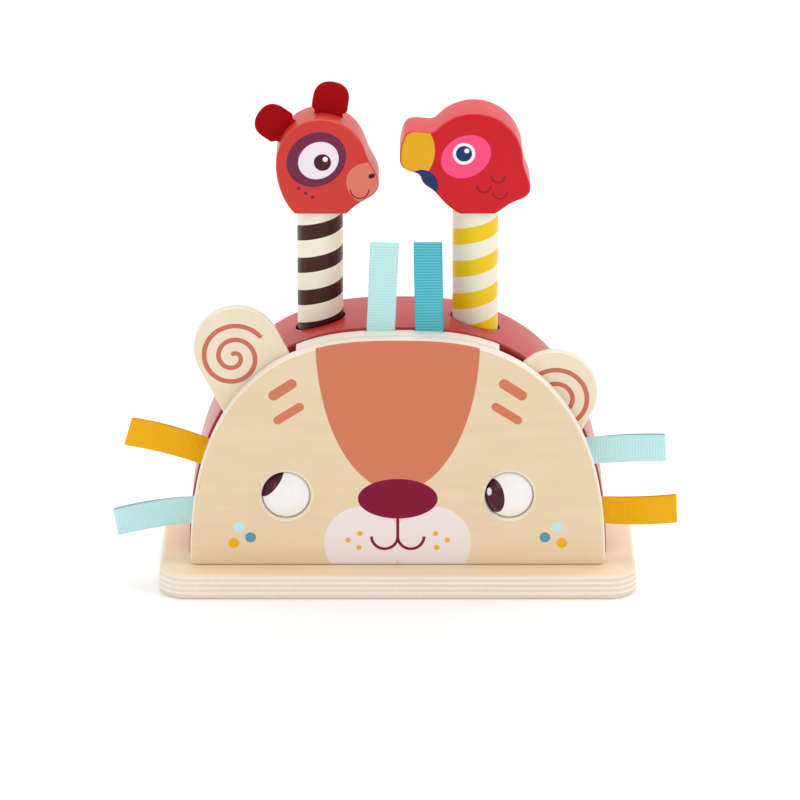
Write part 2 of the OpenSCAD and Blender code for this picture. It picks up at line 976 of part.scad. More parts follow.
// Folded ribbon seen from its edge: flat tail, then a loop that opens to its end
module ribbon(x, z, angle, length, tint) {
    middle_y = body_y - ribbon_t - glue / 2;
    tip = length - ribbon_bulge;
    color(tint)
        translate([x, middle_y, z])
            rotate([0, angle, 0])
                rotate([90, 0, 90])
                    translate([0, 0, -ribbon_w / 2])
                        linear_extrude(ribbon_w) {
                            translate([-ribbon_t, -ribbon_tail_l])
                                square([2 * ribbon_t, ribbon_tail_l + 1]);
                            polygon([
                                [-ribbon_t, 0], [ribbon_t, 0],
                                [ribbon_bulge, tip], [-ribbon_bulge, tip]
                            ]);
                            translate([0, tip])
                                circle(r = ribbon_bulge);
                        }
}

module top_left_ribbon() {
    ribbon(top_left_ribbon_x, top_left_z, top_left_lean, top_ribbon_l, "paleturquoise");
}

module top_right_ribbon() {
    ribbon(top_right_ribbon_x, top_right_z, top_right_lean, top_ribbon_l, "cadetblue");
}

module upper_left_ribbon() {
    ribbon(-upper_ribbon_x, upper_ribbon_z, upper_left_lean - 90, left_ribbon_l, "orange");
}

module lower_left_ribbon() {
    ribbon(-lower_ribbon_x, lower_ribbon_z, lower_left_lean - 90, left_ribbon_l, "paleturquoise");
}

module upper_right_ribbon() {
    ribbon(upper_ribbon_x, upper_ribbon_z, 90 - upper_right_lean, right_ribbon_l, "paleturquoise");
}

module lower_right_ribbon() {
    ribbon(lower_ribbon_x, lower_ribbon_z, 90 - lower_right_lean, right_ribbon_l, "orange");
}

base_board();
front_panel();
top_spacer();
bottom_spacer();
left_side_spacer();
right_side_spacer();
body_arch();
body_front_board();
body_back_board();
guide_shelf();
left_eye_ball();
right_eye_ball();
left_eye_cup();
right_eye_cup();
left_ear();
right_ear();
left_ear_peg();
right_ear_peg();
left_ear_pad();
right_ear_pad();
left_post();
right_post();
left_stop_pin();
right_stop_pin();
left_head();
right_head();
left_head_dowel();
right_head_dowel();
top_felt_ear();
back_felt_ear();
left_spring();
right_spring();
left_spring_cap();
right_spring_cap();
left_spring_seat();
right_spring_seat();
top_left_ribbon();
top_right_ribbon();
upper_left_ribbon();
lower_left_ribbon();
upper_right_ribbon();
lower_right_ribbon();
base_screws();
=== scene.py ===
# %% [markdown]
# # A wooden pop up animal toy, dressed round its frame
# The toy is a plywood board with an arched face on it. Behind the face is a red
# painted housing, out of which two sprung posts with animal heads stand. The frame
# holds every piece at its real size and carries the joints. This lesson gives each
# piece its fine shape and its finish. All sizes here are in millimetres, and they
# turn into metres only when a mesh is made.

# %% Load the frame
import json
import math

import bmesh
import bpy
import numpy as np
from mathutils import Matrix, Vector
from mathutils.geometry import tessellate_polygon


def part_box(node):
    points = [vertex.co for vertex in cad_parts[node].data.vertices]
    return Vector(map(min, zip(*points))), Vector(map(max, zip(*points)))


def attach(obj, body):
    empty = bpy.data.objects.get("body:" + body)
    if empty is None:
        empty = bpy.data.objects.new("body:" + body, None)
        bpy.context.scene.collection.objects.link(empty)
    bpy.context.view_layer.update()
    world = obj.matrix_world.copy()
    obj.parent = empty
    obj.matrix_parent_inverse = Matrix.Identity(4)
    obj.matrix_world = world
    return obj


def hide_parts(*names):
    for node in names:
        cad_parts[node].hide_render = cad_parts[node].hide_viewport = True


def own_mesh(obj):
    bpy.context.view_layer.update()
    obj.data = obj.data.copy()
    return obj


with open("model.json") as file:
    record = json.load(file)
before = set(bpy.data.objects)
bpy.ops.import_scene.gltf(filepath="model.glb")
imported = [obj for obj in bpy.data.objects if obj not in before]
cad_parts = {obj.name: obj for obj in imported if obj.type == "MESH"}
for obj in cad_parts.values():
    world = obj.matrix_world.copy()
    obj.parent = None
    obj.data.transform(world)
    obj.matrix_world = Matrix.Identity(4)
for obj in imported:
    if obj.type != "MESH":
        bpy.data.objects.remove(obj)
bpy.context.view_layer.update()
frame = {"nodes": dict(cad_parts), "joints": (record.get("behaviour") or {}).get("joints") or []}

MM = 0.001
LEFT, RIGHT = -1, 1
SIDES = (("left", LEFT), ("right", RIGHT))

# %% [markdown]
# The new pieces have to sit exactly where the frame has them, so their sizes are read
# from the frame's own boxes. Only shapes that a box can't tell, such as the curve of
# the arch or the lean of an ear, are written down again as numbers.

# %% Sizes read from the frame
def span(node):
    """Lowest and highest corner of a node of the frame, in millimetres."""
    low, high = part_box(node)
    return np.array(low) / MM, np.array(high) / MM


def middle(node):
    """Centre of a node's box, in millimetres."""
    low, high = span(node)
    return (low + high) / 2


base_high = span("base_board")[1]
panel_low, panel_high = span("front_panel")
body_low, body_high = span("body_arch")
BASE_TOP = base_high[2]
PANEL_T = panel_high[1] - panel_low[1]
PANEL_HALF, PANEL_H = panel_high[0], panel_high[2] - BASE_TOP
BODY_HALF, BODY_H = body_high[0], body_high[2] - BASE_TOP
post_low, post_high = span("left_post")
POST_X, POST_Y, _ = middle("right_post")
POST_TOP = post_high[2]
POST_PLAY = 1.1
POST_HOLE_R = (post_high[0] - post_low[0]) / 2 + POST_PLAY
BODY_WALL = 9
print("panel", round(2 * PANEL_HALF, 1), "wide and", round(PANEL_H, 1), "high;",
      "housing", round(2 * BODY_HALF, 1), "wide")

# %% [markdown]
# ## How the shapes are made
# Nearly every wooden piece of this toy is sawn from a board and has its edges rounded
# over with a router. So one helper does most of the work: it carries the piece's
# outline through the thickness, drawing it in a little at each face to round the edge.
# A ring just inside the rounding keeps the flat faces flat to the light.

# %% Surfaces on a grid
CREASE = 38      # edges sharper than this angle, in degrees, stay sharp


def grid_faces(rows, columns, start=0):
    """Quads between neighbouring points of a grid whose points are numbered row by row.
    The last column joins the first again."""
    row = np.arange(rows - 1)[:, None]
    column = np.arange(columns)[None, :]
    after = (column + 1) % columns
    quads = np.stack([row * columns + column, row * columns + after,
                      (row + 1) * columns + after, (row + 1) * columns + column], axis=-1)
    return (quads.reshape(-1, 4) + start).tolist()


def tube_faces(rows, columns):
    """The grid's quads with a cap on its first and on its last row."""
    last = (rows - 1) * columns
    caps = [list(range(columns))[::-1], list(range(last, last + columns))]
    return grid_faces(rows, columns) + caps


def evenly_round(count):
    """Angles spread evenly over a full turn."""
    return np.linspace(0, 2 * math.pi, count, endpoint=False)


def unit_circle(turn):
    """Points of a circle of radius 1 at these angles."""
    return np.stack([np.cos(turn), np.sin(turn)], axis=1)


def points_of(x, y, z):
    """One list of points from their coordinates on a grid."""
    return np.stack(np.broadcast_arrays(x, y, z), axis=-1).reshape(-1, 3)


def way_along(path):
    """How far along a path each of its points is: the sum of the steps up to it."""
    return np.concatenate([[0], np.cumsum(np.linalg.norm(np.diff(path, axis=0), axis=1))])


def make_mesh(name, points, faces, crease=CREASE, values=None, recalculate=True):
    """A mesh from points in millimetres. Its doubles are merged and, on a closed shell,
    its faces are turned outwards. values are named numbers, one for each point, which a
    material can read."""
    mesh = bpy.data.meshes.new(name)
    mesh.from_pydata((np.asarray(points, float) * MM).tolist(), [], faces)
    for key, numbers in (values or {}).items():
        mesh.attributes.new(key, "FLOAT", "POINT").data.foreach_set("value", np.ravel(numbers))
    work = bmesh.new()
    work.from_mesh(mesh)
    bmesh.ops.remove_doubles(work, verts=work.verts, dist=1e-7)
    bmesh.ops.dissolve_degenerate(work, edges=work.edges, dist=1e-8)
    if recalculate:
        bmesh.ops.recalc_face_normals(work, faces=work.faces)
    work.to_mesh(mesh)
    work.free()
    mesh.shade_smooth()
    mesh.set_sharp_from_angle(angle=math.radians(crease))
    return mesh


def put(name, data):
    """Puts a new object with a mesh, a light or a camera into the scene."""
    made = bpy.data.objects.new(name, data)
    bpy.context.scene.collection.objects.link(made)
    return made


def add_piece(node, mesh, finish, body="frame"):
    """Puts a mesh in the place of a node of the frame, gives it its finish and lets it
    ride on its body."""
    piece = put(f"{node}_fine", mesh)
    if not mesh.materials:
        mesh.materials.append(finish)
    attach(piece, body)
    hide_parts(node)
    print(f"{piece.name}: {len(mesh.polygons)} faces on {body}")
    return piece


def dress(finish, *nodes):
    """Gives nodes of the frame, whose shapes stay as they are, a finish."""
    for node in nodes:
        frame["nodes"][node].material_slots[0].material = finish


# %% Boards with rounded edges
FLAT_LIP = 0.5
HOLE_STEPS = 72
HOLE_EDGE = 0.55       # edge value round a hole, whose plies are cut less deep


def round_over(radius, thickness, steps=6):
    """Rings of a board with rounded edges, as how far each is drawn in, how deep it lies,
    and how much it belongs to the edge: a quarter circle at the front, its mirror image
    at the back, and a ring just inside each on the flat face."""
    turn = np.linspace(0, math.pi / 2, steps + 1)
    inset = radius * (1 - np.sin(turn))
    depth = radius * (1 - np.cos(turn))
    inset = np.concatenate([[radius + FLAT_LIP], inset, inset[::-1], [radius + FLAT_LIP]])
    depth = np.concatenate([[0], depth, thickness - depth[::-1], [thickness]])
    edge = np.concatenate([[0], np.sin(turn) ** 2, np.sin(turn[::-1]) ** 2, [0]])
    return inset, depth, edge


def board(outline, radius, thickness, place, holes=(), steps=6):
    """Points, faces and edge values of a board. outline(inset) gives the drawing's points
    a distance inside its outline, place(drawing, depth) puts them in space, and each hole
    is a centre with a profile of (radius, depth) from the front face to the back face."""
    inset, depth, edge = round_over(radius, thickness, steps)
    rings = [outline(i) for i in inset]
    count = len(rings[0])
    points = [place(ring, d) for ring, d in zip(rings, depth)]
    faces = grid_faces(len(rings), count)
    values = [np.full(count, e) for e in edge]
    loops = {0: [(rings[0], 0)], thickness: [(rings[-1], (len(rings) - 1) * count)]}
    start = len(rings) * count
    circle = unit_circle(evenly_round(HOLE_STEPS))
    for centre, profile in holes:
        hole_rings = [np.asarray(centre) + r * circle for r, d in profile]
        for ring, (r, d) in zip(hole_rings, profile):
            points.append(place(ring, d))
            values.append(np.full(HOLE_STEPS, HOLE_EDGE if 0 < d < thickness else 0.0))
        faces += grid_faces(len(profile), HOLE_STEPS, start)
        loops[0].append((hole_rings[0], start))
        start += (len(profile) - 1) * HOLE_STEPS
        loops[thickness].append((hole_rings[-1], start))
        start += HOLE_STEPS
    for rims in loops.values():
        number = np.concatenate([first + np.arange(len(rim)) for rim, first in rims])
        flat = [[Vector((a, b, 0)) for a, b in rim] for rim, first in rims]
        faces += [[int(number[i]) for i in corner] for corner in tessellate_polygon(flat)]
    return np.concatenate(points), faces, {"edge": np.concatenate(values)}


def upright(node, outline, radius, holes=(), steps=6):
    """Mesh of a board that stands upright, as thick and as far back as the node's box.
    Its outline is drawn as [x, z]."""
    low, high = span(node)

    def place(drawing, depth):
        return points_of(drawing[:, 0], low[1] + depth, drawing[:, 1])

    points, faces, values = board(outline, radius, high[1] - low[1], place, holes, steps)
    return make_mesh(node, points, faces, values=values)


# %% [markdown]
# ## How the finishes are made
# The paints and prints of this toy follow shapes: circles, leaves, stripes, spirals. In
# a node tree each is a distance worked out with Math nodes from the point's place on
# the piece. A small class lets that be written as a formula, and builds the nodes.

# %% Formulas as nodes
class Field:
    """A number at every point of a surface: the output of a node."""

    def __init__(self, finish, socket):
        self.finish = finish
        self.socket = socket

    def do(self, operation, *others, clamp=False):
        return self.finish.math(operation, self, *others, clamp=clamp)


def add_operator(sign, operation):
    """Lets a plus, minus, times or divided-by sign between fields build its Math node."""
    setattr(Field, f"__{sign}__", lambda a, b: a.finish.math(operation, a, b))
    setattr(Field, f"__r{sign}__", lambda a, b: a.finish.math(operation, b, a))


for sign, operation in (("add", "ADD"), ("sub", "SUBTRACT"), ("mul", "MULTIPLY"), ("truediv", "DIVIDE")):
    add_operator(sign, operation)


# %% Finishes
class Finish:
    """A material in the making, with short ways to add nodes to its tree."""

    def __init__(self, name, colour, roughness, **settings):
        self.material = bpy.data.materials.new(name)
        self.material.use_nodes = True
        self.tree = self.material.node_tree
        self.shader = self.tree.nodes["Principled BSDF"]
        self.colour = (*colour, 1)
        self.shader.inputs["Roughness"].default_value = roughness
        self.shader.inputs["Specular IOR Level"].default_value = 0.35
        for socket, value in settings.items():
            self.shader.inputs[socket.replace("_", " ")].default_value = value

    def feed(self, socket, value):
        """Links a field or an output to a socket, or sets the socket to a plain value."""
        if isinstance(value, Field):
            value = value.socket
        if isinstance(value, bpy.types.NodeSocket):
            self.tree.links.new(value, socket)
        else:
            socket.default_value = value

    def node(self, kind, inputs=None, **settings):
        """Adds a node. inputs has what goes into its sockets, by their names or numbers."""
        made = self.tree.nodes.new(kind)
        for key, value in settings.items():
            setattr(made, key, value)
        for key, value in (inputs or {}).items():
            self.feed(made.inputs[key], value)
        return made

    def field(self, kind, inputs=None, **settings):
        return Field(self, self.node(kind, inputs, **settings).outputs[0])

    def math(self, operation, *values, clamp=False):
        return self.field("ShaderNodeMath", dict(enumerate(values)), operation=operation, use_clamp=clamp)

    def mapped(self, **inputs):
        """The point's place on the piece, scaled and then moved."""
        inputs["Vector"] = self.node("ShaderNodeTexCoord").outputs["Object"]
        return self.node("ShaderNodeMapping", inputs).outputs[0]

    def place(self, centre=(0, 0, 0)):
        """X, Y and Z of the point, in millimetres from a centre."""
        place = self.mapped(Location=[-c for c in centre], Scale=(1 / MM,) * 3)
        parts = self.node("ShaderNodeSeparateXYZ", {0: place})
        return [Field(self, output) for output in parts.outputs]

    def value(self, key):
        """The named number that the mesh carries at each point."""
        return Field(self, self.node("ShaderNodeAttribute", attribute_name=key).outputs["Fac"])

    def noise(self, size, detail=3.0, roughness=0.5, distortion=0.0):
        """Soft random blotches from 0 to 1. size is how large they are, the same every way
        or one number each for X, Y and Z."""
        place = self.mapped(Scale=[1 / (s * MM) for s in np.broadcast_to(size, 3)])
        return self.field("ShaderNodeTexNoise", {
            "Vector": place, "Scale": 1.0, "Detail": detail,
            "Roughness": roughness, "Distortion": distortion})

    def between(self, field, low, high):
        """0 where the field is at low, 1 where it is at high, and eased in between."""
        return self.field("ShaderNodeMapRange", {"Value": field, "From Min": low, "From Max": high},
                          interpolation_type="SMOOTHSTEP")

    def inside(self, distance, soft=0.12):
        """1 where a signed distance is below zero, with an edge this soft."""
        return distance.do("MULTIPLY_ADD", -1 / soft, 0.5, clamp=True)

    def mix(self, share, colour, **settings):
        made = self.node("ShaderNodeMix", data_type="RGBA", **settings)
        for number, value in ((0, share), (6, self.colour), (7, colour)):
            self.feed(made.inputs[number], value)
        self.colour = made.outputs[2]

    def over(self, mask, colour):
        """Lays a colour over the colours so far, where the mask is 1."""
        self.mix(mask, colour if isinstance(colour, bpy.types.NodeSocket) else (*colour, 1))

    def shade(self, field, strength):
        """Makes the colour lighter where a field from 0 to 1 is above a half, darker where
        it is below: the colour times 1 + strength * (field - 0.5)."""
        level = field.do("MULTIPLY_ADD", strength, 1 - strength / 2)
        grey = self.node("ShaderNodeCombineColor", {0: level, 1: level, 2: level})
        self.mix(1.0, grey.outputs[0], blend_type="MULTIPLY", clamp_result=False)

    def roughness(self, field, low, high):
        self.feed(self.shader.inputs["Roughness"], field.do("MULTIPLY_ADD", high - low, low))

    def relief(self, height, depth):
        """Bump from a height field, whose whole range is this many millimetres deep."""
        bump = self.node("ShaderNodeBump", {"Distance": depth * MM, "Height": height})
        self.feed(self.shader.inputs["Normal"], bump.outputs[0])

    def done(self):
        self.feed(self.shader.inputs["Base Color"], self.colour)
        print("finish:", self.material.name, "with", len(self.tree.nodes), "nodes")
        return self.material


# %% Shapes as distances
def disc(x, z, centre, radius):
    """Distance to a circle: the length of the way to its centre, less its radius."""
    dx = x - centre[0]
    dz = z - centre[1]
    return (dx * dx + dz * dz).do("SQRT") - radius


def oval(x, z, centre, half, turn=0.0):
    """Nearly the distance to an ellipse with these half axes, turned by an angle."""
    c, s = math.cos(math.radians(turn)), math.sin(math.radians(turn))
    dx = x - centre[0]
    dz = z - centre[1]
    u = (dx * c + dz * s) / half[0]
    v = (dz * c - dx * s) / half[1]
    return ((u * u + v * v).do("SQRT") - 1.0) * min(half)


def stroke(x, z, start, end, half):
    """Distance to a line with round ends: to the nearest point between start and end."""
    along = (end[0] - start[0], end[1] - start[1])
    length = along[0] ** 2 + along[1] ** 2
    dx = x - start[0]
    dz = z - start[1]
    share = ((dx * along[0] + dz * along[1]) / length).do("ADD", 0.0, clamp=True)
    dx = dx - share * along[0]
    dz = dz - share * along[1]
    return (dx * dx + dz * dz).do("SQRT") - half


def arc(x, z, centre, radius, half):
    """Distance to the lower half of a thin ring: a smile."""
    ring = disc(x, z, centre, radius).do("ABSOLUTE") - half
    return ring.do("MAXIMUM", z - centre[1])


# %% [markdown]
# ## Colours
# The colours are set as they look in daylight and turned into linear light here. The
# view is kept plain, so that a colour in the render is the colour written down.

# %% Colours of the toy
def tone(red, green, blue):
    """Linear colour from the usual 0 to 255 values: each is a share raised to about 2.2."""
    share = np.array([red, green, blue]) / 255
    linear = np.where(share <= 0.04045, share / 12.92, ((share + 0.055) / 1.055) ** 2.4)
    return tuple(float(c) for c in linear)


BIRCH = tone(232, 208, 172)
BIRCH_PALE = tone(240, 221, 192)
EAR_BIRCH = tone(240, 226, 198)
PLY_LIGHT = tone(246, 236, 220)
PLY_DARK = tone(214, 194, 166)
RAW_WOOD = tone(222, 196, 158)
TERRACOTTA = tone(209, 118, 86)
SPIRAL = tone(200, 96, 70)
PLUM = tone(130, 4, 52)
DARK_PLUM = tone(70, 6, 32)
MUZZLE = tone(240, 229, 229)
HOUSING_RED = tone(192, 44, 42)
CREAM = tone(244, 242, 222)
UMBER = tone(62, 18, 18)
YELLOW = tone(244, 206, 2)
FOX_RED = tone(208, 56, 48)
PARROT_RED = tone(208, 10, 28)
PINK = tone(252, 76, 128)
NAVY = tone(14, 46, 108)
BEAK = tone(230, 172, 14)
FELT_RED = tone(168, 0, 10)
MINT = tone(192, 234, 236)
TEAL = tone(84, 184, 198)
AMBER = tone(238, 176, 0)
SKY = tone(74, 150, 178)
WHITE = tone(246, 245, 245)
print("birch in linear light:", [round(c, 3) for c in BIRCH])

# %% [markdown]
# ## Camera, light and floor
# The photograph was taken from well back and a little above, so the camera is far off
# with a long lens, and looks down by 18 degrees. A wide soft light from above and two
# from the sides, in a white room, give the even light of a catalogue picture.

# %% Studio
CAMERA_TILT = 18.2
CAMERA_AWAY = 3000
CAMERA_AIM = (1.13, 0, 88.27)
LENS = 267.05


def add_camera():
    """Camera on a straight line back from the point it looks at, tilted down."""
    tilt = math.radians(CAMERA_TILT)
    back = np.array([0, -math.cos(tilt), math.sin(tilt)]) * CAMERA_AWAY
    data = bpy.data.cameras.new("camera")
    data.lens = LENS
    data.sensor_width = 36
    data.clip_end = 20
    camera = put("camera", data)
    camera.location = (np.array(CAMERA_AIM) + back) * MM
    camera.rotation_euler = (math.pi / 2 - tilt, 0, 0)
    bpy.context.scene.camera = camera


def add_light(name, place, size, power):
    """A square soft light that faces the toy."""
    data = bpy.data.lights.new(name, "AREA")
    data.size = size
    data.energy = power
    light = put(name, data)
    light.location = place
    light.rotation_euler = (Vector((0, 0, 0.1)) - Vector(place)).to_track_quat("-Z", "Y").to_euler()


add_camera()
add_light("top_light", (0.15, 0.45, 1.5), 1.2, 11)
add_light("left_light", (-1.5, -0.9, 1.0), 0.9, 4)
add_light("right_light", (1.5, -0.7, 1.1), 0.9, 5.5)

ROOM_GLOW = 0.72
room = bpy.data.worlds.new("white_room")
room.use_nodes = True
room.node_tree.nodes["Background"].inputs["Color"].default_value = (1, 1, 1, 1)
room.node_tree.nodes["Background"].inputs["Strength"].default_value = ROOM_GLOW
bpy.context.scene.world = room
bpy.context.scene.view_settings.view_transform = "Standard"

# %% Floor
FLOOR_HALF = 4000
corners = [(sx * FLOOR_HALF, sy * FLOOR_HALF, 0) for sx, sy in ((-1, -1), (1, -1), (1, 1), (-1, 1))]
floor_mesh = make_mesh("floor", corners, [[0, 1, 2, 3]], recalculate=False)
finish = Finish("floor_paper", tone(250, 250, 250), 0.7,
                Emission_Color=(1, 1, 1, 1), Emission_Strength=0.07)
finish.shade(finish.noise(30), 0.01)
floor_mesh.materials.append(finish.done())
put("floor", floor_mesh)

# %% [markdown]
# ## Plywood
# The boards are birch plywood. Its faces are a pale veneer with a faint figure that runs
# one way, and its edges show the plies, light and dark in turn, with a thin glue line
# between them. The mesh carries a number that is 1 on the edge and 0 on the faces, and
# the material blends from the one look to the other by it.

# %% Plywood finish
def plywood(name, node, plies, across=1, grain=(60, 5, 5), colour=BIRCH, rim=None, pale_grain_and_light=0.0):
    """Veneer on the faces, plies on the edge. across is the axis number in which the plies
    are stacked, through the thickness of the node; rim is 1 where the edge is, and pale_grain_and_light
    is how far the plies are lightened, partly for their pale end grain and partly as painted light on the
    edges."""
    finish = Finish(name, colour, 0.42, Coat_Weight=0.06, Coat_Roughness=0.3)
    figure = finish.noise(grain, 5, 0.62, 1.2)
    finish.shade(finish.between(figure, 0.3, 0.7), 0.055)
    finish.over(finish.noise((70, 70, 60), 2) * 0.5, BIRCH_PALE)
    pores = finish.noise([g / 7 if g == max(grain) else g / 14 for g in grain], 2)
    finish.over(finish.between(pores, 0.62, 0.75) * 0.07, tone(196, 160, 118))
    place = finish.place()
    low, high = (corner[across] for corner in span(node))
    level = (place[across] - low) * (plies / (high - low)) + finish.noise(25, 2) * 0.16
    share = level.do("FRACT")
    odd = (level * 0.5).do("FRACT").do("GREATER_THAN", 0.5)
    streaks = finish.noise([3 if axis == across else 1.5 for axis in range(3)], 4, 0.7)
    glue = (share - 0.5).do("ABSOLUTE").do("GREATER_THAN", 0.455)
    face_colour = finish.colour
    finish.colour = (*PLY_LIGHT, 1)
    finish.over(odd * (finish.noise(40, 2) * 0.5 + 0.2), PLY_DARK)
    finish.shade(streaks, 0.16)
    finish.over(glue * finish.noise(18, 3) * 0.55, tone(150, 116, 80))
    # lightens the plies, partly for their pale end grain and partly as painted light on the edges and
    # round the eye holes
    finish.over(pale_grain_and_light, tone(255, 252, 246))
    edge_colour = finish.colour
    finish.colour = face_colour
    rim = finish.value("edge") if rim is None else rim
    finish.over(finish.between(rim, 0.2, 0.8), edge_colour)
    finish.roughness(figure, 0.36, 0.52)
    return finish, figure


# %% [markdown]
# ## Base board
# The base is a board of nine plies with round corners, every edge routed over. Six
# screws come up through it, sunk in cones so that the toy stands flat.

# %% Base board
CORNER_R, CORNER_STEPS = 15, 20
BASE_EDGE_R, BASE_PLIES = 2.5, 9


def base_outline(inset):
    """Rounded rectangle: a quarter circle round each corner's centre, less the inset."""
    way = unit_circle(evenly_round(4 * CORNER_STEPS) + math.pi / 4 / CORNER_STEPS)
    return np.sign(way) * (base_high[:2] - CORNER_R) + (CORNER_R - inset) * way


def laid(drawing, depth):
    """Places a drawing [x, y] flat, with its front face on top of the base board."""
    return points_of(drawing[:, 0], drawing[:, 1], BASE_TOP - depth)


# %% Screws and base board
SCREW_R, SCREW_HEAD_R, SCREW_SINK, SCREW_FIT = 1.9, 3.8, 0.3, 0.05
LEG_X, LEG_Y = BODY_HALF - BODY_WALL / 2, (body_high[1] - body_low[1]) * 0.3
SPACER_X, SPACER_Y = 46, middle("bottom_spacer")[1]
screws = [(sx * LEG_X, POST_Y + sy * LEG_Y) for sx in (-1, 1) for sy in (-1, 1)]
screws += [(sx * SPACER_X, SPACER_Y) for sx in (-1, 1)]
shaft_r, head_r, head_z = SCREW_R + SCREW_FIT, SCREW_HEAD_R + SCREW_FIT, BASE_TOP - SCREW_SINK
countersink = [(shaft_r, 0), (shaft_r, head_z - (SCREW_HEAD_R - SCREW_R)),
               (head_r, head_z), (head_r, BASE_TOP)]
base_points, base_faces, base_values = board(
    base_outline, BASE_EDGE_R, BASE_TOP, laid, [(place, countersink) for place in screws])
finish, figure = plywood("base_plywood", "base_board", BASE_PLIES, across=2,
                         grain=(70, 6, 6), colour=tone(246, 222, 188))
finish.relief(figure, 0.05)
base_mesh = make_mesh("base_board", base_points, base_faces, values=base_values)
add_piece("base_board", base_mesh, finish.done())

# %% [markdown]
# ## The arch
# The face panel and the housing share one kind of curve, fuller than an ellipse at the
# shoulders: the point's share of the half width to one power, plus its share of the
# height to another, comes to 1. Near the foot it is worked out from the height and near
# the crown from the width, so that the points stay evenly spread.

# %% Arch curve
ARCH_STEPS = 44


def on_arch(given, given_size, given_power, size, power):
    """The other coordinate of a point of an arch, from the one that is given."""
    return size * (1 - (given / given_size) ** given_power) ** (1 / power)


def arch_half(half, height, side, top):
    """Points and outward directions of the right half of an arch, foot to crown. half is
    its half width, side and top are the powers of the width and of the height."""
    z_side = np.linspace(0, height * 0.5 ** (1 / top), ARCH_STEPS, endpoint=False)
    x_side = on_arch(z_side, height, top, half, side)
    x_top = np.linspace(half * 0.5 ** (1 / side), 0, ARCH_STEPS + 1)
    z_top = on_arch(x_top, half, side, height, top)
    points = np.stack([np.concatenate([x_side, x_top]), np.concatenate([z_side, z_top])], axis=1)
    sizes, powers = np.array([half, height]), np.array([side, top])
    way = powers / sizes * (points / sizes) ** (powers - 1)
    return points, way / np.linalg.norm(way, axis=1, keepdims=True)


def arch_outline(arch, inset, foot):
    """The whole arch, drawn in by the inset, its foot no lower than foot: the right half
    and then its mirror image, with heights counted from the base board."""
    points, way = arch_half(*arch)
    right = points - inset * way
    right[:, 1] = np.maximum(right[:, 1], foot) + BASE_TOP
    return np.concatenate([right, right[-2::-1] * [-1, 1]])


# %% Face panel
EYE_X, _, EYE_Z = middle("right_eye_ball")
EYE_HOLE_R, EYE_EDGE_R, EYE_RIM_T, EYE_BORE_R = 12.2, 1.6, 0.8, 13.4
PANEL_SIDE, PANEL_TOP = 2.73, 2.33
PANEL_EDGE_R, PANEL_FOOT_R = 2, 3.2
FOOT_SKIP = 3      # points of the arch that lie within the height of the round foot


def panel_outline(inset):
    """The arch with its two sharp foot corners rounded: the lowest points of each side
    make way for a quarter circle, whose centre lies PANEL_FOOT_R in from both edges."""
    outline = arch_outline((PANEL_HALF, PANEL_H, PANEL_SIDE, PANEL_TOP), inset, inset)
    turn = np.linspace(0, math.pi / 2, 7)
    radius = PANEL_FOOT_R - inset
    foot = outline[0] + radius * np.stack([np.sin(turn) - 1, 1 - np.cos(turn)], axis=1)
    return np.concatenate([foot, outline[FOOT_SKIP:-FOOT_SKIP], foot[::-1] * [-1, 1]])


rim_depth = EYE_EDGE_R + EYE_RIM_T
eye_profile = [
    (EYE_HOLE_R + EYE_EDGE_R + FLAT_LIP, 0),
    *((EYE_HOLE_R + EYE_EDGE_R * (1 - math.sin(turn)), EYE_EDGE_R * (1 - math.cos(turn)))
      for turn in np.linspace(0, math.pi / 2, 7)),
    (EYE_HOLE_R, rim_depth), (EYE_BORE_R, rim_depth), (EYE_BORE_R, PANEL_T)]
panel_mesh = upright("front_panel", panel_outline, PANEL_EDGE_R,
                     [((side * EYE_X, EYE_Z), eye_profile) for name, side in SIDES])

# %% [markdown]
# ## The face
# The face is printed on the veneer in flat inks. It is a plain animal face of our own: a
# rounded forehead patch, two leaf marks, an oval nose, a muzzle of two rounds with a
# smile in the middle, and three dots on each cheek. It is the same on both sides, so
# the distances use how far a point is from the middle, without its sign.

# %% Face print
def face_print():
    # the panel's edges and eye-hole bevels are lightened, partly for pale end grain and partly as painted
    # light
    finish, figure = plywood("printed_face", "front_panel", 7, grain=(80, 9, 9), pale_grain_and_light=0.4)
    finish.shader.inputs["Specular IOR Level"].default_value = 0.15
    x, y, z = finish.place((0, 0, BASE_TOP))
    beside = x.do("ABSOLUTE")
    front = finish.inside(y - (panel_low[1] + 1.3))
    ink = finish.noise(0.35, 2)

    def lay(distance, colour, strength=0.96):
        cover = finish.inside(distance) * front
        finish.over(cover * (ink * 0.14 + (strength - 0.07)), colour)

    lay(oval(beside, z, (0, PANEL_H + 1), (41, 80)), TERRACOTTA)
    for start, end, half in (((53, 96), (62, 90), 2.6), ((49, 84), (60, 77), 2.2)):
        lay(stroke(beside, z, start, end, half), TERRACOTTA)
    lay(disc(beside, z, (17.5, 12), 19.5), MUZZLE)
    lay(oval(beside, z, (0, 35.5), (20, 10.5)), PLUM, 1.06)
    lay(arc(beside, z, (6.6, 15.5), 6.6, 0.75), PLUM, 1.06)
    lay(stroke(beside, z, (0, 15.5), (0, 27), 0.75), PLUM, 1.06)
    for spot in ((19, 17), (25, 13.5), (19.5, 9.5)):
        lay(disc(beside, z, spot, 1.35), AMBER)
    for spot, colour in (((74, 15), SKY), ((82.5, 12), AMBER), ((80, 20.5), MINT)):
        lay(disc(beside, z, spot, 2.7), colour)
    finish.relief(figure, 0.03)
    return finish.done()


add_piece("front_panel", panel_mesh, face_print())

# %% [markdown]
# ## Spacers
# Strips of the same plywood keep the face panel off the housing. The ears and the
# ribbons come out of the gap between them. Their shape is right in the frame, so they
# keep it. They show only their edges, so their rim is 1 all over.

# %% Spacers
# the spacers' plies are lightened, partly for pale end grain and partly as painted light on their top
# edges
finish, figure = plywood("spacer_plywood", "top_spacer", 7, rim=1.0, pale_grain_and_light=0.45)
finish.relief(figure, 0.03)
dress(finish.done(), "top_spacer", "bottom_spacer", "left_side_spacer", "right_side_spacer")
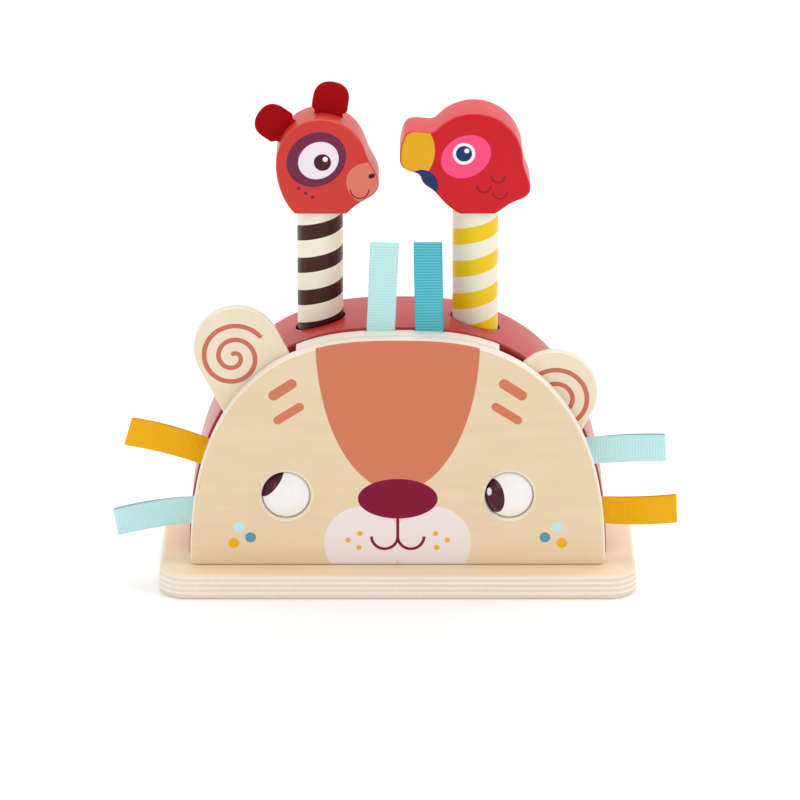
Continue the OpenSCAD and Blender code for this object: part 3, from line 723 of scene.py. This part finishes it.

# %% [markdown]
# ## Housing
# The housing is a bent arch with a board let into its front and its back, all sprayed
# with a satin red. The arch is the same kind of board as the rest: its outline goes up
# the outside of the arch and comes back down the inside. Its front face is painted a
# deeper red, as painted shade for the gap behind the face panel. The two round holes for the
# posts are cut by a Boolean, because their edges don't follow the arch's own lines.

# %% Housing paint
GAP_SHADE_RED = tone(138, 14, 26)

finish = Finish("housing_paint", HOUSING_RED, 0.34, Coat_Weight=0.25, Coat_Roughness=0.22)
finish.shade(finish.noise(40, 3), 0.07)
worn = finish.between(finish.noise((5, 60, 5), 4, 0.6), 0.45, 0.85)
finish.over(worn * 0.1, tone(150, 30, 34))
depth = finish.place((0, body_low[1], 0))[1]
# painted shade: the housing's front face is darkened where it lies in the gap behind the face panel
finish.over(finish.between(depth, 1.6, 0.3) * 0.8, GAP_SHADE_RED)
finish.relief(finish.noise(1.6, 2), 0.015)
red_paint = finish.done()

# %% Housing shape
BODY_ARCH = (BODY_HALF, BODY_H, 2.6, 2.27)
BODY_EDGE_R = 1.6


def housing_outline(inset):
    """Outside of the arch, drawn in by the inset, and back along its inside."""
    return np.concatenate([arch_outline(BODY_ARCH, inset, 0),
                           arch_outline(BODY_ARCH, BODY_WALL, 0)[::-1]])


# %% Cutting
CUTTER_SIDES = 128


def cylinder_mesh(centre, radius, low, high):
    """Closed upright cylinder, used as a cutter."""
    ring = centre + radius * unit_circle(evenly_round(CUTTER_SIDES))
    points = np.concatenate([points_of(ring[:, 0], ring[:, 1], z) for z in (low, high)])
    return make_mesh("cylinder", points, tube_faces(2, CUTTER_SIDES))


def cut(mesh, cutters):
    """The mesh less its cutters, by an exact Boolean that is applied at once."""
    whole = put("cut_work", mesh)
    tools = [put("cutter", cutter) for cutter in cutters]
    for tool in tools:
        modifier = whole.modifiers.new("cut", "BOOLEAN")
        modifier.operation = "DIFFERENCE"
        modifier.solver = "EXACT"
        modifier.material_mode = "TRANSFER"
        modifier.object = tool
    graph = bpy.context.evaluated_depsgraph_get()
    result = bpy.data.meshes.new_from_object(whole.evaluated_get(graph))
    for done in [whole, *tools]:
        bpy.data.objects.remove(done)
    result.shade_smooth()
    result.set_sharp_from_angle(angle=math.radians(CREASE))
    return result


# %% Housing
HOLE_LOW, HOLE_HIGH = 100, 150
housing_mesh = upright("body_arch", housing_outline, BODY_EDGE_R)
post_holes = [cylinder_mesh((side * POST_X, POST_Y), POST_HOLE_R, HOLE_LOW, HOLE_HIGH)
              for name, side in SIDES]
for mesh in [housing_mesh, *post_holes]:
    mesh.materials.append(red_paint)
add_piece("body_arch", cut(housing_mesh, post_holes), red_paint)
dress(red_paint, "body_front_board", "body_back_board")

# %% [markdown]
# ## Plain wood inside
# The shelf, the pegs and the dowels are bare wood. Their grain runs along the piece.

# %% Bare wood
def bare_wood(name, grain):
    finish = Finish(name, RAW_WOOD, 0.62)
    figure = finish.noise(grain, 5, 0.65, 0.8)
    finish.shade(finish.between(figure, 0.3, 0.7), 0.16)
    finish.relief(figure, 0.06)
    return finish.done()


dress(bare_wood("shelf_wood", (50, 2, 4)), "guide_shelf")
dress(bare_wood("peg_wood", (0.8, 14, 0.8)), "left_ear_peg", "right_ear_peg")
dress(bare_wood("dowel_wood", (1, 1, 22)), "left_head_dowel", "right_head_dowel")

# %% [markdown]
# ## Eyes
# Each eye is a white plastic ball in a bore behind its hole, where it can roll. The big
# dark pupil is painted on the ball: it is where the direction from the ball's centre is
# close enough to the direction in which the eye looks, which is a plain sum of products.

# %% Eye balls
GLINT_SIZE = 8.4


def eye_finish(name, look, pupil, glint):
    """White ball with a pupil round one direction and a small glint dot round another.
    Sizes are angles in degrees from the middle to the edge."""
    finish = Finish(f"{name}_eye_plastic", WHITE, 0.22, Coat_Weight=0.12, Coat_Roughness=0.1,
                    Specular_IOR_Level=0.25)
    finish.shade(finish.noise(12, 2), 0.02)
    low, high = span(f"{name}_eye_ball")
    radius = (high[2] - low[2]) / 2
    place = finish.place((low + high) / 2)

    def cap(direction, angle):
        way = np.array(direction) / np.linalg.norm(direction)
        along = place[0] * way[0] + place[1] * way[1] + place[2] * way[2]
        return finish.inside(math.cos(math.radians(angle)) * radius - along)

    finish.over(cap(look, pupil), DARK_PLUM)
    finish.over(cap(glint, GLINT_SIZE), WHITE)
    finish.relief(finish.noise(9, 2), 0.01)
    return finish.done()


dress(eye_finish("left", (-0.745, -0.228, 0.627), 43.0, (-0.95, 0.05, 0.3)), "left_eye_ball")
dress(eye_finish("right", (-0.804, -0.594, -0.015), 42.6, (-0.787, -0.589, 0.185)), "right_eye_ball")

# %% [markdown]
# ## Ears
# The ears are tongues of thin plywood that slide in the gap beside the face. Each leans
# out, has a round top and round foot corners, and carries a spiral. The spiral is drawn
# from its own formula: the distance from the centre, less the share of a turn that the
# direction has made, is a whole number of ring spacings on every ring of the line.

# %% Ear shape
EAR_W, EAR_L, EAR_LEAN, EAR_EDGE_R, EAR_FOOT_R, EAR_PEG_L = 43.5, 38, 27.5, 1.2, 5, 31
EAR_ROUND_STEPS, EAR_FOOT_STEPS = 48, 8


def ear_outline(inset):
    """Tongue with a round top and two small round foot corners, round end's middle at 0."""
    ring = (EAR_W / 2 - inset) * unit_circle(np.linspace(0, math.pi, EAR_ROUND_STEPS + 1))
    corners = []
    for side, start in ((-1, math.pi), (1, 1.5 * math.pi)):
        turn = start + np.linspace(0, math.pi / 2, EAR_FOOT_STEPS + 1)
        centre = np.array([side * (EAR_W / 2 - EAR_FOOT_R), EAR_FOOT_R - EAR_L])
        corners.append(centre + (EAR_FOOT_R - inset) * unit_circle(turn))
    return np.concatenate([ring, *corners])


def ear_centre(name, side):
    """Middle of an ear's round end: along the lean from the peg, by the peg's distance."""
    lean = math.radians(EAR_LEAN)
    peg = middle(f"{name}_ear_peg")
    return np.array([peg[0] + side * EAR_PEG_L * math.sin(lean), peg[2] + EAR_PEG_L * math.cos(lean)])


def leaned(name, side):
    """Outline of an ear where it is: turned by its lean about its middle, then moved."""
    lean = -side * math.radians(EAR_LEAN)
    turn = np.array([[math.cos(lean), -math.sin(lean)], [math.sin(lean), math.cos(lean)]])
    return lambda inset: ear_outline(inset) @ turn.T + ear_centre(name, side)


# %% Ear finish and ears
SPIRAL_START, SPIRAL_STEP, SPIRAL_TURNS, SPIRAL_HALF = 1.8, 7.25, 2.14, 1.2
SPIRAL_OUT, SPIRAL_DOWN = 2.0, 4.1


def ear_finish(name, side):
    """Plywood with a spiral. turn is the part of a full turn, from straight up, at which
    a point lies; whole counts the full turns before it on the nearest ring of the line."""
    finish, figure = plywood(f"{name}_ear_plywood", f"{name}_ear", 5, grain=(9, 9, 60), colour=EAR_BIRCH)
    centre = ear_centre(name, side)
    x, y, z = finish.place((centre[0] + side * SPIRAL_OUT, 0, centre[1] - SPIRAL_DOWN))
    radius = (x * x + z * z).do("SQRT")
    turn = ((x * -side).do("ARCTAN2", z) / (2 * math.pi)).do("FRACT")
    rings = (radius - SPIRAL_START) / SPIRAL_STEP
    whole = (rings - turn + 0.5).do("FLOOR").do("MAXIMUM", 0.0)
    whole = whole.do("MINIMUM", (turn * -1 + SPIRAL_TURNS).do("FLOOR"))
    line = (rings - turn - whole).do("ABSOLUTE") * SPIRAL_STEP - SPIRAL_HALF
    for t in (0, SPIRAL_TURNS):
        a, r = 2 * math.pi * t, SPIRAL_START + SPIRAL_STEP * t
        line = line.do("MINIMUM", disc(x, z, (-side * r * math.sin(a), r * math.cos(a)), SPIRAL_HALF))
    front = finish.inside(y - (span(f"{name}_ear")[0][1] + 1))
    finish.over(finish.inside(line) * front * 0.94, SPIRAL)
    finish.relief(figure, 0.03)
    return finish.done()


for name, side in SIDES:
    mesh = upright(f"{name}_ear", leaned(name, side), EAR_EDGE_R, steps=4)
    add_piece(f"{name}_ear", mesh, ear_finish(name, side), f"{name}_ear_slider")

# %% [markdown]
# ## Posts
# The posts are dowels dipped in cream paint, with a coloured stripe that winds round
# them. One turn of the stripe climbs by its pitch. So the height less the share of the
# turn, counted in pitches, tells how far up the pattern a point is, and the stripe is
# where the fraction of that is small enough.

# %% Striped posts
STRIPE_PITCH = 17.0
THIN_COAT = {"Coat_Weight": 0.06, "Coat_Roughness": 0.2, "Specular_IOR_Level": 0.25}


def striped(name, side, colour, foot, wide):
    """Cream paint with a winding stripe. foot is the height of the stripe's lower edge
    straight in front, and wide is the stripe's share of the pitch."""
    finish = Finish(name, CREAM, 0.34, **THIN_COAT)
    finish.shade(finish.noise((14, 14, 60), 3), 0.05)
    x, y, z = finish.place((side * POST_X, POST_Y, foot))
    turn = y.do("ARCTAN2", x) / (2 * math.pi) + 0.25
    level = (z / STRIPE_PITCH - turn).do("FRACT")
    distance = ((level - wide / 2).do("ABSOLUTE") - wide / 2) * STRIPE_PITCH
    finish.over(finish.inside(distance, 0.25), colour)
    finish.relief(finish.noise((2.2, 2.2, 9), 3), 0.03)
    return finish.done()


dress(striped("left_post_stripes", LEFT, UMBER, 174.183, 0.47), "left_post")
dress(striped("right_post_stripes", RIGHT, YELLOW, 171.933, 0.5), "right_post")

# %% [markdown]
# ## Heads
# A head is a thick cut-out, seen from its side. Its outline is drawn round the middle of
# the skull as a radius for each direction: a circle that swells softly into a snout, a
# beak, a nape or a chin, and is cut flat where it stands on the post.

# %% Head outlines
HEAD_STEPS, HEAD_EDGE_R = 260, 2


def swell(direction, centre, width):
    """Bell-shaped bump round one direction, 1 at its middle, with angles in degrees."""
    off = (direction - centre + 540) % 360 - 180
    return np.exp(-((off / width) ** 2))


def plateau(direction, start, end, soft):
    """Bump with a level top from start to end and two soft flanks."""
    return 1 / ((1 + np.exp((start - direction) / soft)) * (1 + np.exp((direction - end) / soft)))


def fox_radius(a):
    return 22.5 + 7.6 * swell(a, -25, 20) + 9.5 * swell(a, -93, 46)


def parrot_radius(a):
    return (24.2 + 12.8 * plateau(a, 151, 191, 2.6) + 3.5 * swell(a, 203, 12)
            + 6.5 * swell(a, -31, 15) + 6 * swell(a, -80, 45))


SKULLS = {"left": (1.0, 26.5, 22.5, fox_radius), "right": (-1.0, 28.0, 24.2, parrot_radius)}


def skull_centre(name, side):
    return np.array([side * POST_X + SKULLS[name][0], POST_TOP + SKULLS[name][1]])


def head_outline(name, side):
    """Outline of a head, spread evenly along its length, and moved square to itself."""
    a = np.degrees(evenly_round(8 * 360))
    path = skull_centre(name, side) + SKULLS[name][3](a)[:, None] * unit_circle(np.radians(a))
    path[:, 1] = np.maximum(path[:, 1], POST_TOP)
    path = np.concatenate([path, path[:1]])
    length = way_along(path)
    even = np.linspace(0, length[-1], HEAD_STEPS, endpoint=False)
    points = np.stack([np.interp(even, length, path[:, i]) for i in (0, 1)], axis=1)
    along = np.roll(points, -2, axis=0) - np.roll(points, 2, axis=0)
    along /= np.linalg.norm(along, axis=1, keepdims=True)
    out = np.stack([along[:, 1], -along[:, 0]], axis=1)
    return lambda inset: points - inset * out


def crossing(outline, inset):
    """How many steps of an inset outline run backwards, which would fold the surface."""
    first, last = outline(0), outline(inset)
    steps = [np.roll(ring, -1, axis=0) - ring for ring in (first, last)]
    return int(((steps[0] * steps[1]).sum(axis=1) < 0).sum())


# %% Felt ears' places
FELT_ANGLES = {"top_felt_ear": 9, "back_felt_ear": -54}
FELT_T, FELT_W, FELT_L, FELT_TAB, TAB_W = 2.4, 18.0, 16.0, 6.0, 14.0
FELT_GROW, FELT_POWER, FELT_CUP = 2.5, 2.5, 1.6


def felt_frame(angle):
    """Foot of a felt ear on the skull, its upward and its sideways direction, in [x, z]."""
    a = math.radians(angle)
    up = np.array([math.sin(a), math.cos(a)])
    return skull_centre("left", LEFT) + SKULLS["left"][2] * up, up, np.array([up[1], -up[0]])


def slot_cutter(angle, material):
    """Box that cuts the slot of a felt ear, a little wider than the ear's tab."""
    foot, up, beside = felt_frame(angle)
    half_w, half_t, deep, out = TAB_W / 2 + 0.3, FELT_T / 2 + 0.3, FELT_TAB + 0.3, 4
    points = [foot + beside * half_w * sx + up * h for h in (-deep, out) for sx in (-1, 1)]
    corners = [(p[0], POST_Y + sy * half_t, p[1]) for sy in (-1, 1) for p in points]
    faces = [[0, 1, 3, 2], [4, 5, 7, 6], [0, 1, 5, 4], [2, 3, 7, 6], [0, 2, 6, 4], [1, 3, 7, 5]]
    mesh = make_mesh("felt_slot", corners, faces)
    mesh.materials.append(material)
    return mesh


# %% [markdown]
# ## Head paint
# The heads are painted all over and then printed with simple shapes. The paint is thin
# on the sawn edge, so that it looks paler there and the wood's growth lines show through
# as faint streaks. The faces are plain animals of our own.

# %% Head paint
def head_paint(name, side, colour, edge_colour):
    """Painted head. Gives the finish and the place of a point from the skull's middle."""
    finish = Finish(f"{name}_head_paint", colour, 0.34, **THIN_COAT)
    finish.shade(finish.noise(30, 3), 0.05)
    streaks = finish.noise((60, 1.6, 3), 4, 0.6)
    rim = finish.between(finish.value("edge"), 0.35, 0.9)
    finish.over(rim * 0.55, edge_colour)
    finish.over(rim * finish.between(streaks, 0.5, 0.7) * 0.25, tone(226, 140, 132))
    centre = skull_centre(name, side)
    x, y, z = finish.place((centre[0], 0, centre[1]))
    return finish, x, z


def print_on(finish, shapes):
    """Prints shapes on a head's flat faces, and ends the paint with a fine orange peel."""
    flat = finish.inside(finish.value("edge") - 0.5, 0.2)
    for shape, colour in shapes:
        finish.over(finish.inside(shape) * flat, colour)
    finish.relief(finish.noise(1.8, 2), 0.012)
    return finish.done()


# %% Head prints
SMILE_RED, FEATHER_RED = tone(130, 26, 40), tone(150, 12, 28)

finish, x, z = head_paint("left", LEFT, FOX_RED, tone(205, 84, 74))
left_head_paint = print_on(finish, (
    (oval(x, z, (25, -11), (13, 11), -25), tone(222, 122, 100)),
    (oval(x, z, (-2.5, 2), (15.5, 13.5), 35), tone(112, 32, 66)),
    (oval(x, z, (-1.5, 1.5), (10.5, 9.2), 35), tone(244, 230, 240)),
    (disc(x, z, (0.5, 0.5), 4.3), DARK_PLUM),
    (disc(x, z, (1.9, 2.1), 1.3), WHITE),
    (oval(x, z, (25, -6.5), (1.7, 1.2), 20), DARK_PLUM),
    (arc(x, z, (19, -13.5), 4.6, 0.35), SMILE_RED),
    *((disc(x, z, spot, 0.9), SMILE_RED) for spot in ((-8, -15.5), (-4.5, -17.5), (-11.5, -13))),
))

finish, x, z = head_paint("right", RIGHT, PARROT_RED, tone(222, 70, 76))
right_head_paint = print_on(finish, (
    (disc(x, z, (-38, 5), 18.5), BEAK),
    (disc(x, z, (-26, -13), 8.2).do("MAXIMUM", z + 4.5), NAVY),
    (oval(x, z, (-4, 2), (13, 10.5), 30), PINK),
    (disc(x, z, (-5, 3.5), 5.6), WHITE),
    (disc(x, z, (-5, 3.5), 4.0), NAVY),
    (disc(x, z, (-3.6, 5.0), 1.25), WHITE),
    *((arc(x, z, centre, 3.4, 0.5), FEATHER_RED) for centre in ((12, -8), (5, -13), (13, -16.5))),
))

# %% Heads
slot_wood = bare_wood("slot_wood", 2)
for name, side, paint in (("left", LEFT, left_head_paint), ("right", RIGHT, right_head_paint)):
    outline = head_outline(name, side)
    print(name, "head steps that cross:", crossing(outline, HEAD_EDGE_R + FLAT_LIP))
    mesh = upright(f"{name}_head", outline, HEAD_EDGE_R, steps=7)
    mesh.materials.append(paint)
    if name == "left":
        mesh = cut(mesh, [slot_cutter(angle, slot_wood) for angle in FELT_ANGLES.values()])
    add_piece(f"{name}_head", mesh, paint, f"{name}_figure")

# %% [markdown]
# ## Felt ears
# The left figure has two ears of thick wool felt, cut as a round leaf with a narrower
# tab, which is glued in a slot. The surface is a flat tube: a section with round edges is
# carried up the leaf, and its width follows the leaf's outline. The leaf is cupped a
# little, and its nap is a fine random relief.

# %% Felt ear shape
def felt_half_width(v):
    """Half width of the leaf at a height: the tab's below the foot, then soon the full
    width, and a rather square round at the end."""
    round_r = FELT_W / 2
    grow = np.clip(v / FELT_GROW, 0, 1)
    side = TAB_W / 2 + (round_r - TAB_W / 2) * grow * grow * (3 - 2 * grow)
    above = np.clip(v - (FELT_L - round_r), 0, round_r)
    return side * np.maximum(1 - (above / round_r) ** FELT_POWER, 0) ** (1 / FELT_POWER)


def felt_points(angle, rows=72, columns=56):
    """Points of a felt ear. Row by row up the leaf there is a flat loop whose half
    thickness stays and whose ends are round; across the leaf it bends like a shallow
    trough, deeper towards the end."""
    share = np.linspace(0, 1, rows)
    v = -FELT_TAB + (FELT_L + FELT_TAB) * np.sin(share * math.pi / 2)
    half = felt_half_width(v)[:, None]
    turn = evenly_round(columns)[None, :]
    thin = np.minimum(FELT_T / 2 - 0.1, half)
    across = (half - thin) * np.clip(1.25 * np.cos(turn), -1, 1) + thin * np.cos(turn)
    thick = thin * np.sign(np.sin(turn)) * np.sqrt(np.abs(np.sin(turn)))
    bend = FELT_CUP * (across / (FELT_W / 2)) ** 2 * np.clip(v / FELT_L, 0, 1)[:, None]
    foot, up, beside = felt_frame(angle)
    x, z = (foot[i] + across * beside[i] + v[:, None] * up[i] for i in (0, 1))
    return points_of(x, POST_Y + thick - bend, z), rows, columns


# %% Felt ears
finish = Finish("wool_felt", FELT_RED, 0.9, Sheen_Weight=0.15, Sheen_Roughness=0.5,
                Sheen_Tint=(1.0, 0.3, 0.35, 1.0), Specular_IOR_Level=0.15)
nap = finish.noise(0.45, 5, 0.75)
finish.shade(nap, 0.5)
finish.shade(finish.noise(5, 2), 0.15)
finish.relief(nap, 0.35)
felt = finish.done()
for name, angle in FELT_ANGLES.items():
    points, rows, columns = felt_points(angle)
    faces = grid_faces(rows, columns) + [list(range(columns))[::-1]]
    piece = add_piece(name, make_mesh(name, points, faces, crease=70), felt, "left_figure")

# %% [markdown]
# ## Ribbons
# Six loops of grosgrain ribbon are caught between the face and the housing. Grosgrain
# has ribs across it, about one to the millimetre, which catch the light, so they are
# real relief here. The section of the ribbon is carried out along one layer, round the
# tip and back along the other. The mesh carries the ribs' height, from how far along each
# point is, and painted light and shade follow it: lighter on the crests, darker in the grooves.

# %% Ribbon finish
RIB_PITCH = 1.45


def ribbon_finish(name, colour, rib_light_and_shade):
    """Woven cloth with painted light on its rib crests and painted shade in the grooves, by a share."""
    finish = Finish(name, colour, 0.6, Sheen_Weight=0.06, Sheen_Roughness=0.4, Specular_IOR_Level=0.2)
    rib = finish.value("rib")
    # painted light on the rib crests and painted shade in the grooves between them
    finish.shade(finish.between(rib, 0.0, 0.8), rib_light_and_shade)
    finish.shade(finish.noise(0.25, 2), 0.12)
    finish.shade(finish.noise(20, 2), 0.05)
    finish.relief(finish.noise(0.22, 2), 0.05)
    return finish.done()


# %% Ribbon shape
RIBBON_W, RIBBON_T, RIBBON_BULGE, TAIL_L = 14.6, 0.5, 1.5, 9.0
RIB_STEPS = 5
SECTION = (-1, -0.97, -0.9, -0.45, 0, 0.45, 0.9, 0.97, 1)


def ribbon_path(length):
    """Middle line of the folded ribbon, as [along, off]: out on one layer, which parts
    slowly from the other, half a circle round the tip, and back on the other layer."""
    tip_r = RIBBON_BULGE - RIBBON_T / 2
    tail_off = RIBBON_T / 2 + 0.01
    tip = length - RIBBON_BULGE
    layer = int((length + TAIL_L) / RIB_PITCH * RIB_STEPS)
    along = np.linspace(-TAIL_L, tip, layer, endpoint=False)
    share = np.clip(along / tip, 0, 1)
    off = tail_off + (tip_r - tail_off) * (1 - (1 - share) ** 2)
    turn = np.linspace(math.pi / 2, -math.pi / 2, 4 * RIB_STEPS + 1)
    bend = np.stack([tip + tip_r * np.cos(turn), tip_r * np.sin(turn)], axis=1)
    out = np.stack([along, off], axis=1)
    return np.concatenate([out, bend, out[::-1] * [1, -1]])


def ribbon_points(root, lean, length, bow, twist, arch):
    """Points of a ribbon and the height of its ribs, from 0 to 1. Its section is a thin
    flat loop; its faces rise and fall with the ribs, except near the woven edges. bow
    bends the free end towards the viewer, twist turns it about its length, and arch is
    how far its middle stands up from the straight way."""
    path = ribbon_path(length)
    travel = way_along(path)
    tangent = np.gradient(path, travel, axis=0)
    tangent /= np.linalg.norm(tangent, axis=1, keepdims=True)
    normal = np.stack([-tangent[:, 1], tangent[:, 0]], axis=1)
    section = np.array([(u, 1) for u in SECTION] + [(u, -1) for u in SECTION[::-1]])
    calm = np.where(np.abs(section[:, 0]) > 0.95, 0.25, 1.0)
    rib = (0.5 + 0.5 * np.cos(2 * math.pi * travel / RIB_PITCH))[:, None] * calm
    thick = section[:, 1] * (RIBBON_T / 2 - 0.13 + 0.09 * rib)
    across = section[:, 0] * (RIBBON_W / 2 - 0.2)
    along, off = (path[:, i, None] + normal[:, i, None] * thick for i in (0, 1))
    free = np.clip(along / length, 0, 1)
    turn = math.radians(twist) * free
    side = across * np.cos(turn) - off * np.sin(turn)
    off = across * np.sin(turn) + off * np.cos(turn) - bow * free ** 2
    a = math.radians(lean)
    x = root[0] + along * math.sin(a) + side * math.cos(a)
    z = root[2] + along * math.cos(a) - side * math.sin(a) + arch * 4 * free * (1 - free)
    return points_of(x, root[1] + off, z), len(path), len(section), rib


# %% Ribbons in their places
TOP_L, LEFT_L, RIGHT_L = 46.5, 39.5, 37.5
UPPER_H, LOWER_H = 55, 23.5
ribbon_y = body_low[1] - RIBBON_T - 0.025


def at_height(side, h):
    """Point of the face panel's outline on one side, at a height above its foot."""
    x = on_arch(h, PANEL_H, PANEL_TOP, PANEL_HALF, PANEL_SIDE)
    return side * x, ribbon_y, BASE_TOP + h


def across(x):
    """Point of the face panel's outline above, at a distance from the middle."""
    return x, ribbon_y, BASE_TOP + on_arch(abs(x), PANEL_HALF, PANEL_SIDE, PANEL_H, PANEL_TOP)


GROSGRAIN = {"mint": ribbon_finish("mint_grosgrain", MINT, 0.1),
             "teal": ribbon_finish("teal_grosgrain", TEAL, 0.5),
             "amber": ribbon_finish("amber_grosgrain", AMBER, 0.08)}
RIBBONS = (          # place, colour, spacer, root, lean from upright, length, bow, twist, arch
    ("top_left", "mint", "top", across(-8.5), 2.5, TOP_L, 1.2, 3, 0),
    ("top_right", "teal", "top", across(15.8), -1, TOP_L, 0.4, -3, 0),
    ("upper_left", "amber", "left_side", at_height(LEFT, UPPER_H), -74, LEFT_L, 1.8, 9, 1.0),
    ("lower_left", "mint", "left_side", at_height(LEFT, LOWER_H), -99, LEFT_L, 1.0, -7, 1.0),
    ("upper_right", "mint", "right_side", at_height(RIGHT, UPPER_H), 87, RIGHT_L, 1.0, 5, 0.6),
    ("lower_right", "amber", "right_side", at_height(RIGHT, LOWER_H), 88, RIGHT_L, 1.5, -6, -0.9),
)
for place, colour, spacer, root, lean, length, bow, twist, arch in RIBBONS:
    points, rows, columns, rib = ribbon_points(root, lean, length, bow, twist, arch)
    mesh = make_mesh(f"{place}_ribbon", points, tube_faces(rows, columns), crease=60, values={"rib": rib})
    piece = add_piece(f"{place}_ribbon", mesh, GROSGRAIN[colour])

# %% [markdown]
# ## Springs and small parts
# The springs are steel wire wound round a helix. The share of its length that a spring
# keeps when its post is pressed down is worked out from the joint's own range and
# printed.

# %% Metal and plastic
def steel(name, colour=(0.56, 0.57, 0.59)):
    finish = Finish(name, colour, 0.3, Metallic=1.0)
    finish.shade(finish.noise(3, 3), 0.15)
    finish.roughness(finish.noise((1.5, 1.5, 6), 4), 0.2, 0.45)
    finish.relief(finish.noise((0.3, 0.3, 1.5), 3), 0.01)
    return finish.done()


dress(steel("bright_steel"), "left_stop_pin", "right_stop_pin", "base_screws")
finish = Finish("white_plastic", tone(236, 235, 232), 0.4)
finish.shade(finish.noise(10, 2), 0.04)
finish.relief(finish.noise(0.6, 2), 0.02)
plastic = finish.done()
for name, side in SIDES:
    dress(plastic, f"{name}_eye_cup", f"{name}_spring_cap", f"{name}_spring_seat")

# %% Felt pads behind the ears
PAD_R, PAD_HOLE_R = 7.0, 2.6


def pad_points(node, columns=64):
    """A felt washer: its section, a flat ring with rounded edges, is turned about the peg."""
    low, high = span(node)
    centre = middle(node)
    half, soft = (high[1] - low[1]) / 2, 0.35
    turn = evenly_round(columns)[None, :]
    r = np.array([PAD_HOLE_R, PAD_HOLE_R + soft, PAD_R - soft, PAD_R, PAD_R, PAD_R - soft,
                  PAD_HOLE_R + soft, PAD_HOLE_R, PAD_HOLE_R])[:, None]
    y = centre[1] + half * np.array([-0.6, -1, -1, -0.6, 0.6, 1, 1, 0.6, -0.6])[:, None]
    points = points_of(centre[0] + r * np.cos(turn), y, centre[2] + r * np.sin(turn))
    return points, len(r), columns


finish = Finish("grey_felt", tone(120, 118, 120), 0.95, Sheen_Weight=0.4)
nap = finish.noise(0.4, 5, 0.75)
finish.shade(nap, 0.5)
finish.relief(nap, 0.3)
pad_felt = finish.done()
for name, side in SIDES:
    points, rows, columns = pad_points(f"{name}_ear_pad")
    mesh = make_mesh(f"{name}_ear_pad", points, grid_faces(rows, columns))
    piece = add_piece(f"{name}_ear_pad", mesh, pad_felt, f"{name}_ear_slider")

# %% Springs
WIRE_R, SPRING_R, SPRING_TURNS = 0.65, 9.0, 9
WIRE_SIDES, RINGS_PER_TURN = 12, 36


def spring_points(centre, low, high):
    """Tube round a helix: the wire's middle goes round the spring's radius and climbs
    evenly from one wire radius above the seat to one wire radius below the cap."""
    rings = SPRING_TURNS * RINGS_PER_TURN + 1
    turn = np.linspace(0, 2 * math.pi * SPRING_TURNS, rings)[:, None]
    around = evenly_round(WIRE_SIDES)[None, :]
    climb = np.linspace(low + WIRE_R, high - WIRE_R, rings)[:, None]
    r = SPRING_R + WIRE_R * np.cos(around)
    return points_of(centre[0] + r * np.cos(turn), centre[1] + r * np.sin(turn),
                     climb + WIRE_R * np.sin(around)), rings


spring_steel = steel("spring_steel", (0.5, 0.51, 0.53))
joints = {joint["name"]: joint for joint in frame["joints"]}
for name, side in SIDES:
    low, high = span(f"{name}_spring")
    travel = -joints[f"{name}_press"]["range_m"][0] / MM
    points, rings = spring_points((side * POST_X, POST_Y), low[2], high[2])
    mesh = make_mesh(f"{name}_spring", points, tube_faces(rings, WIRE_SIDES))
    piece = add_piece(f"{name}_spring", mesh, spring_steel)
    kept = 1 - travel / (high[2] - low[2])
    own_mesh(piece)
    print(name, "spring keeps", round(kept, 3), "of its length when it is pressed")
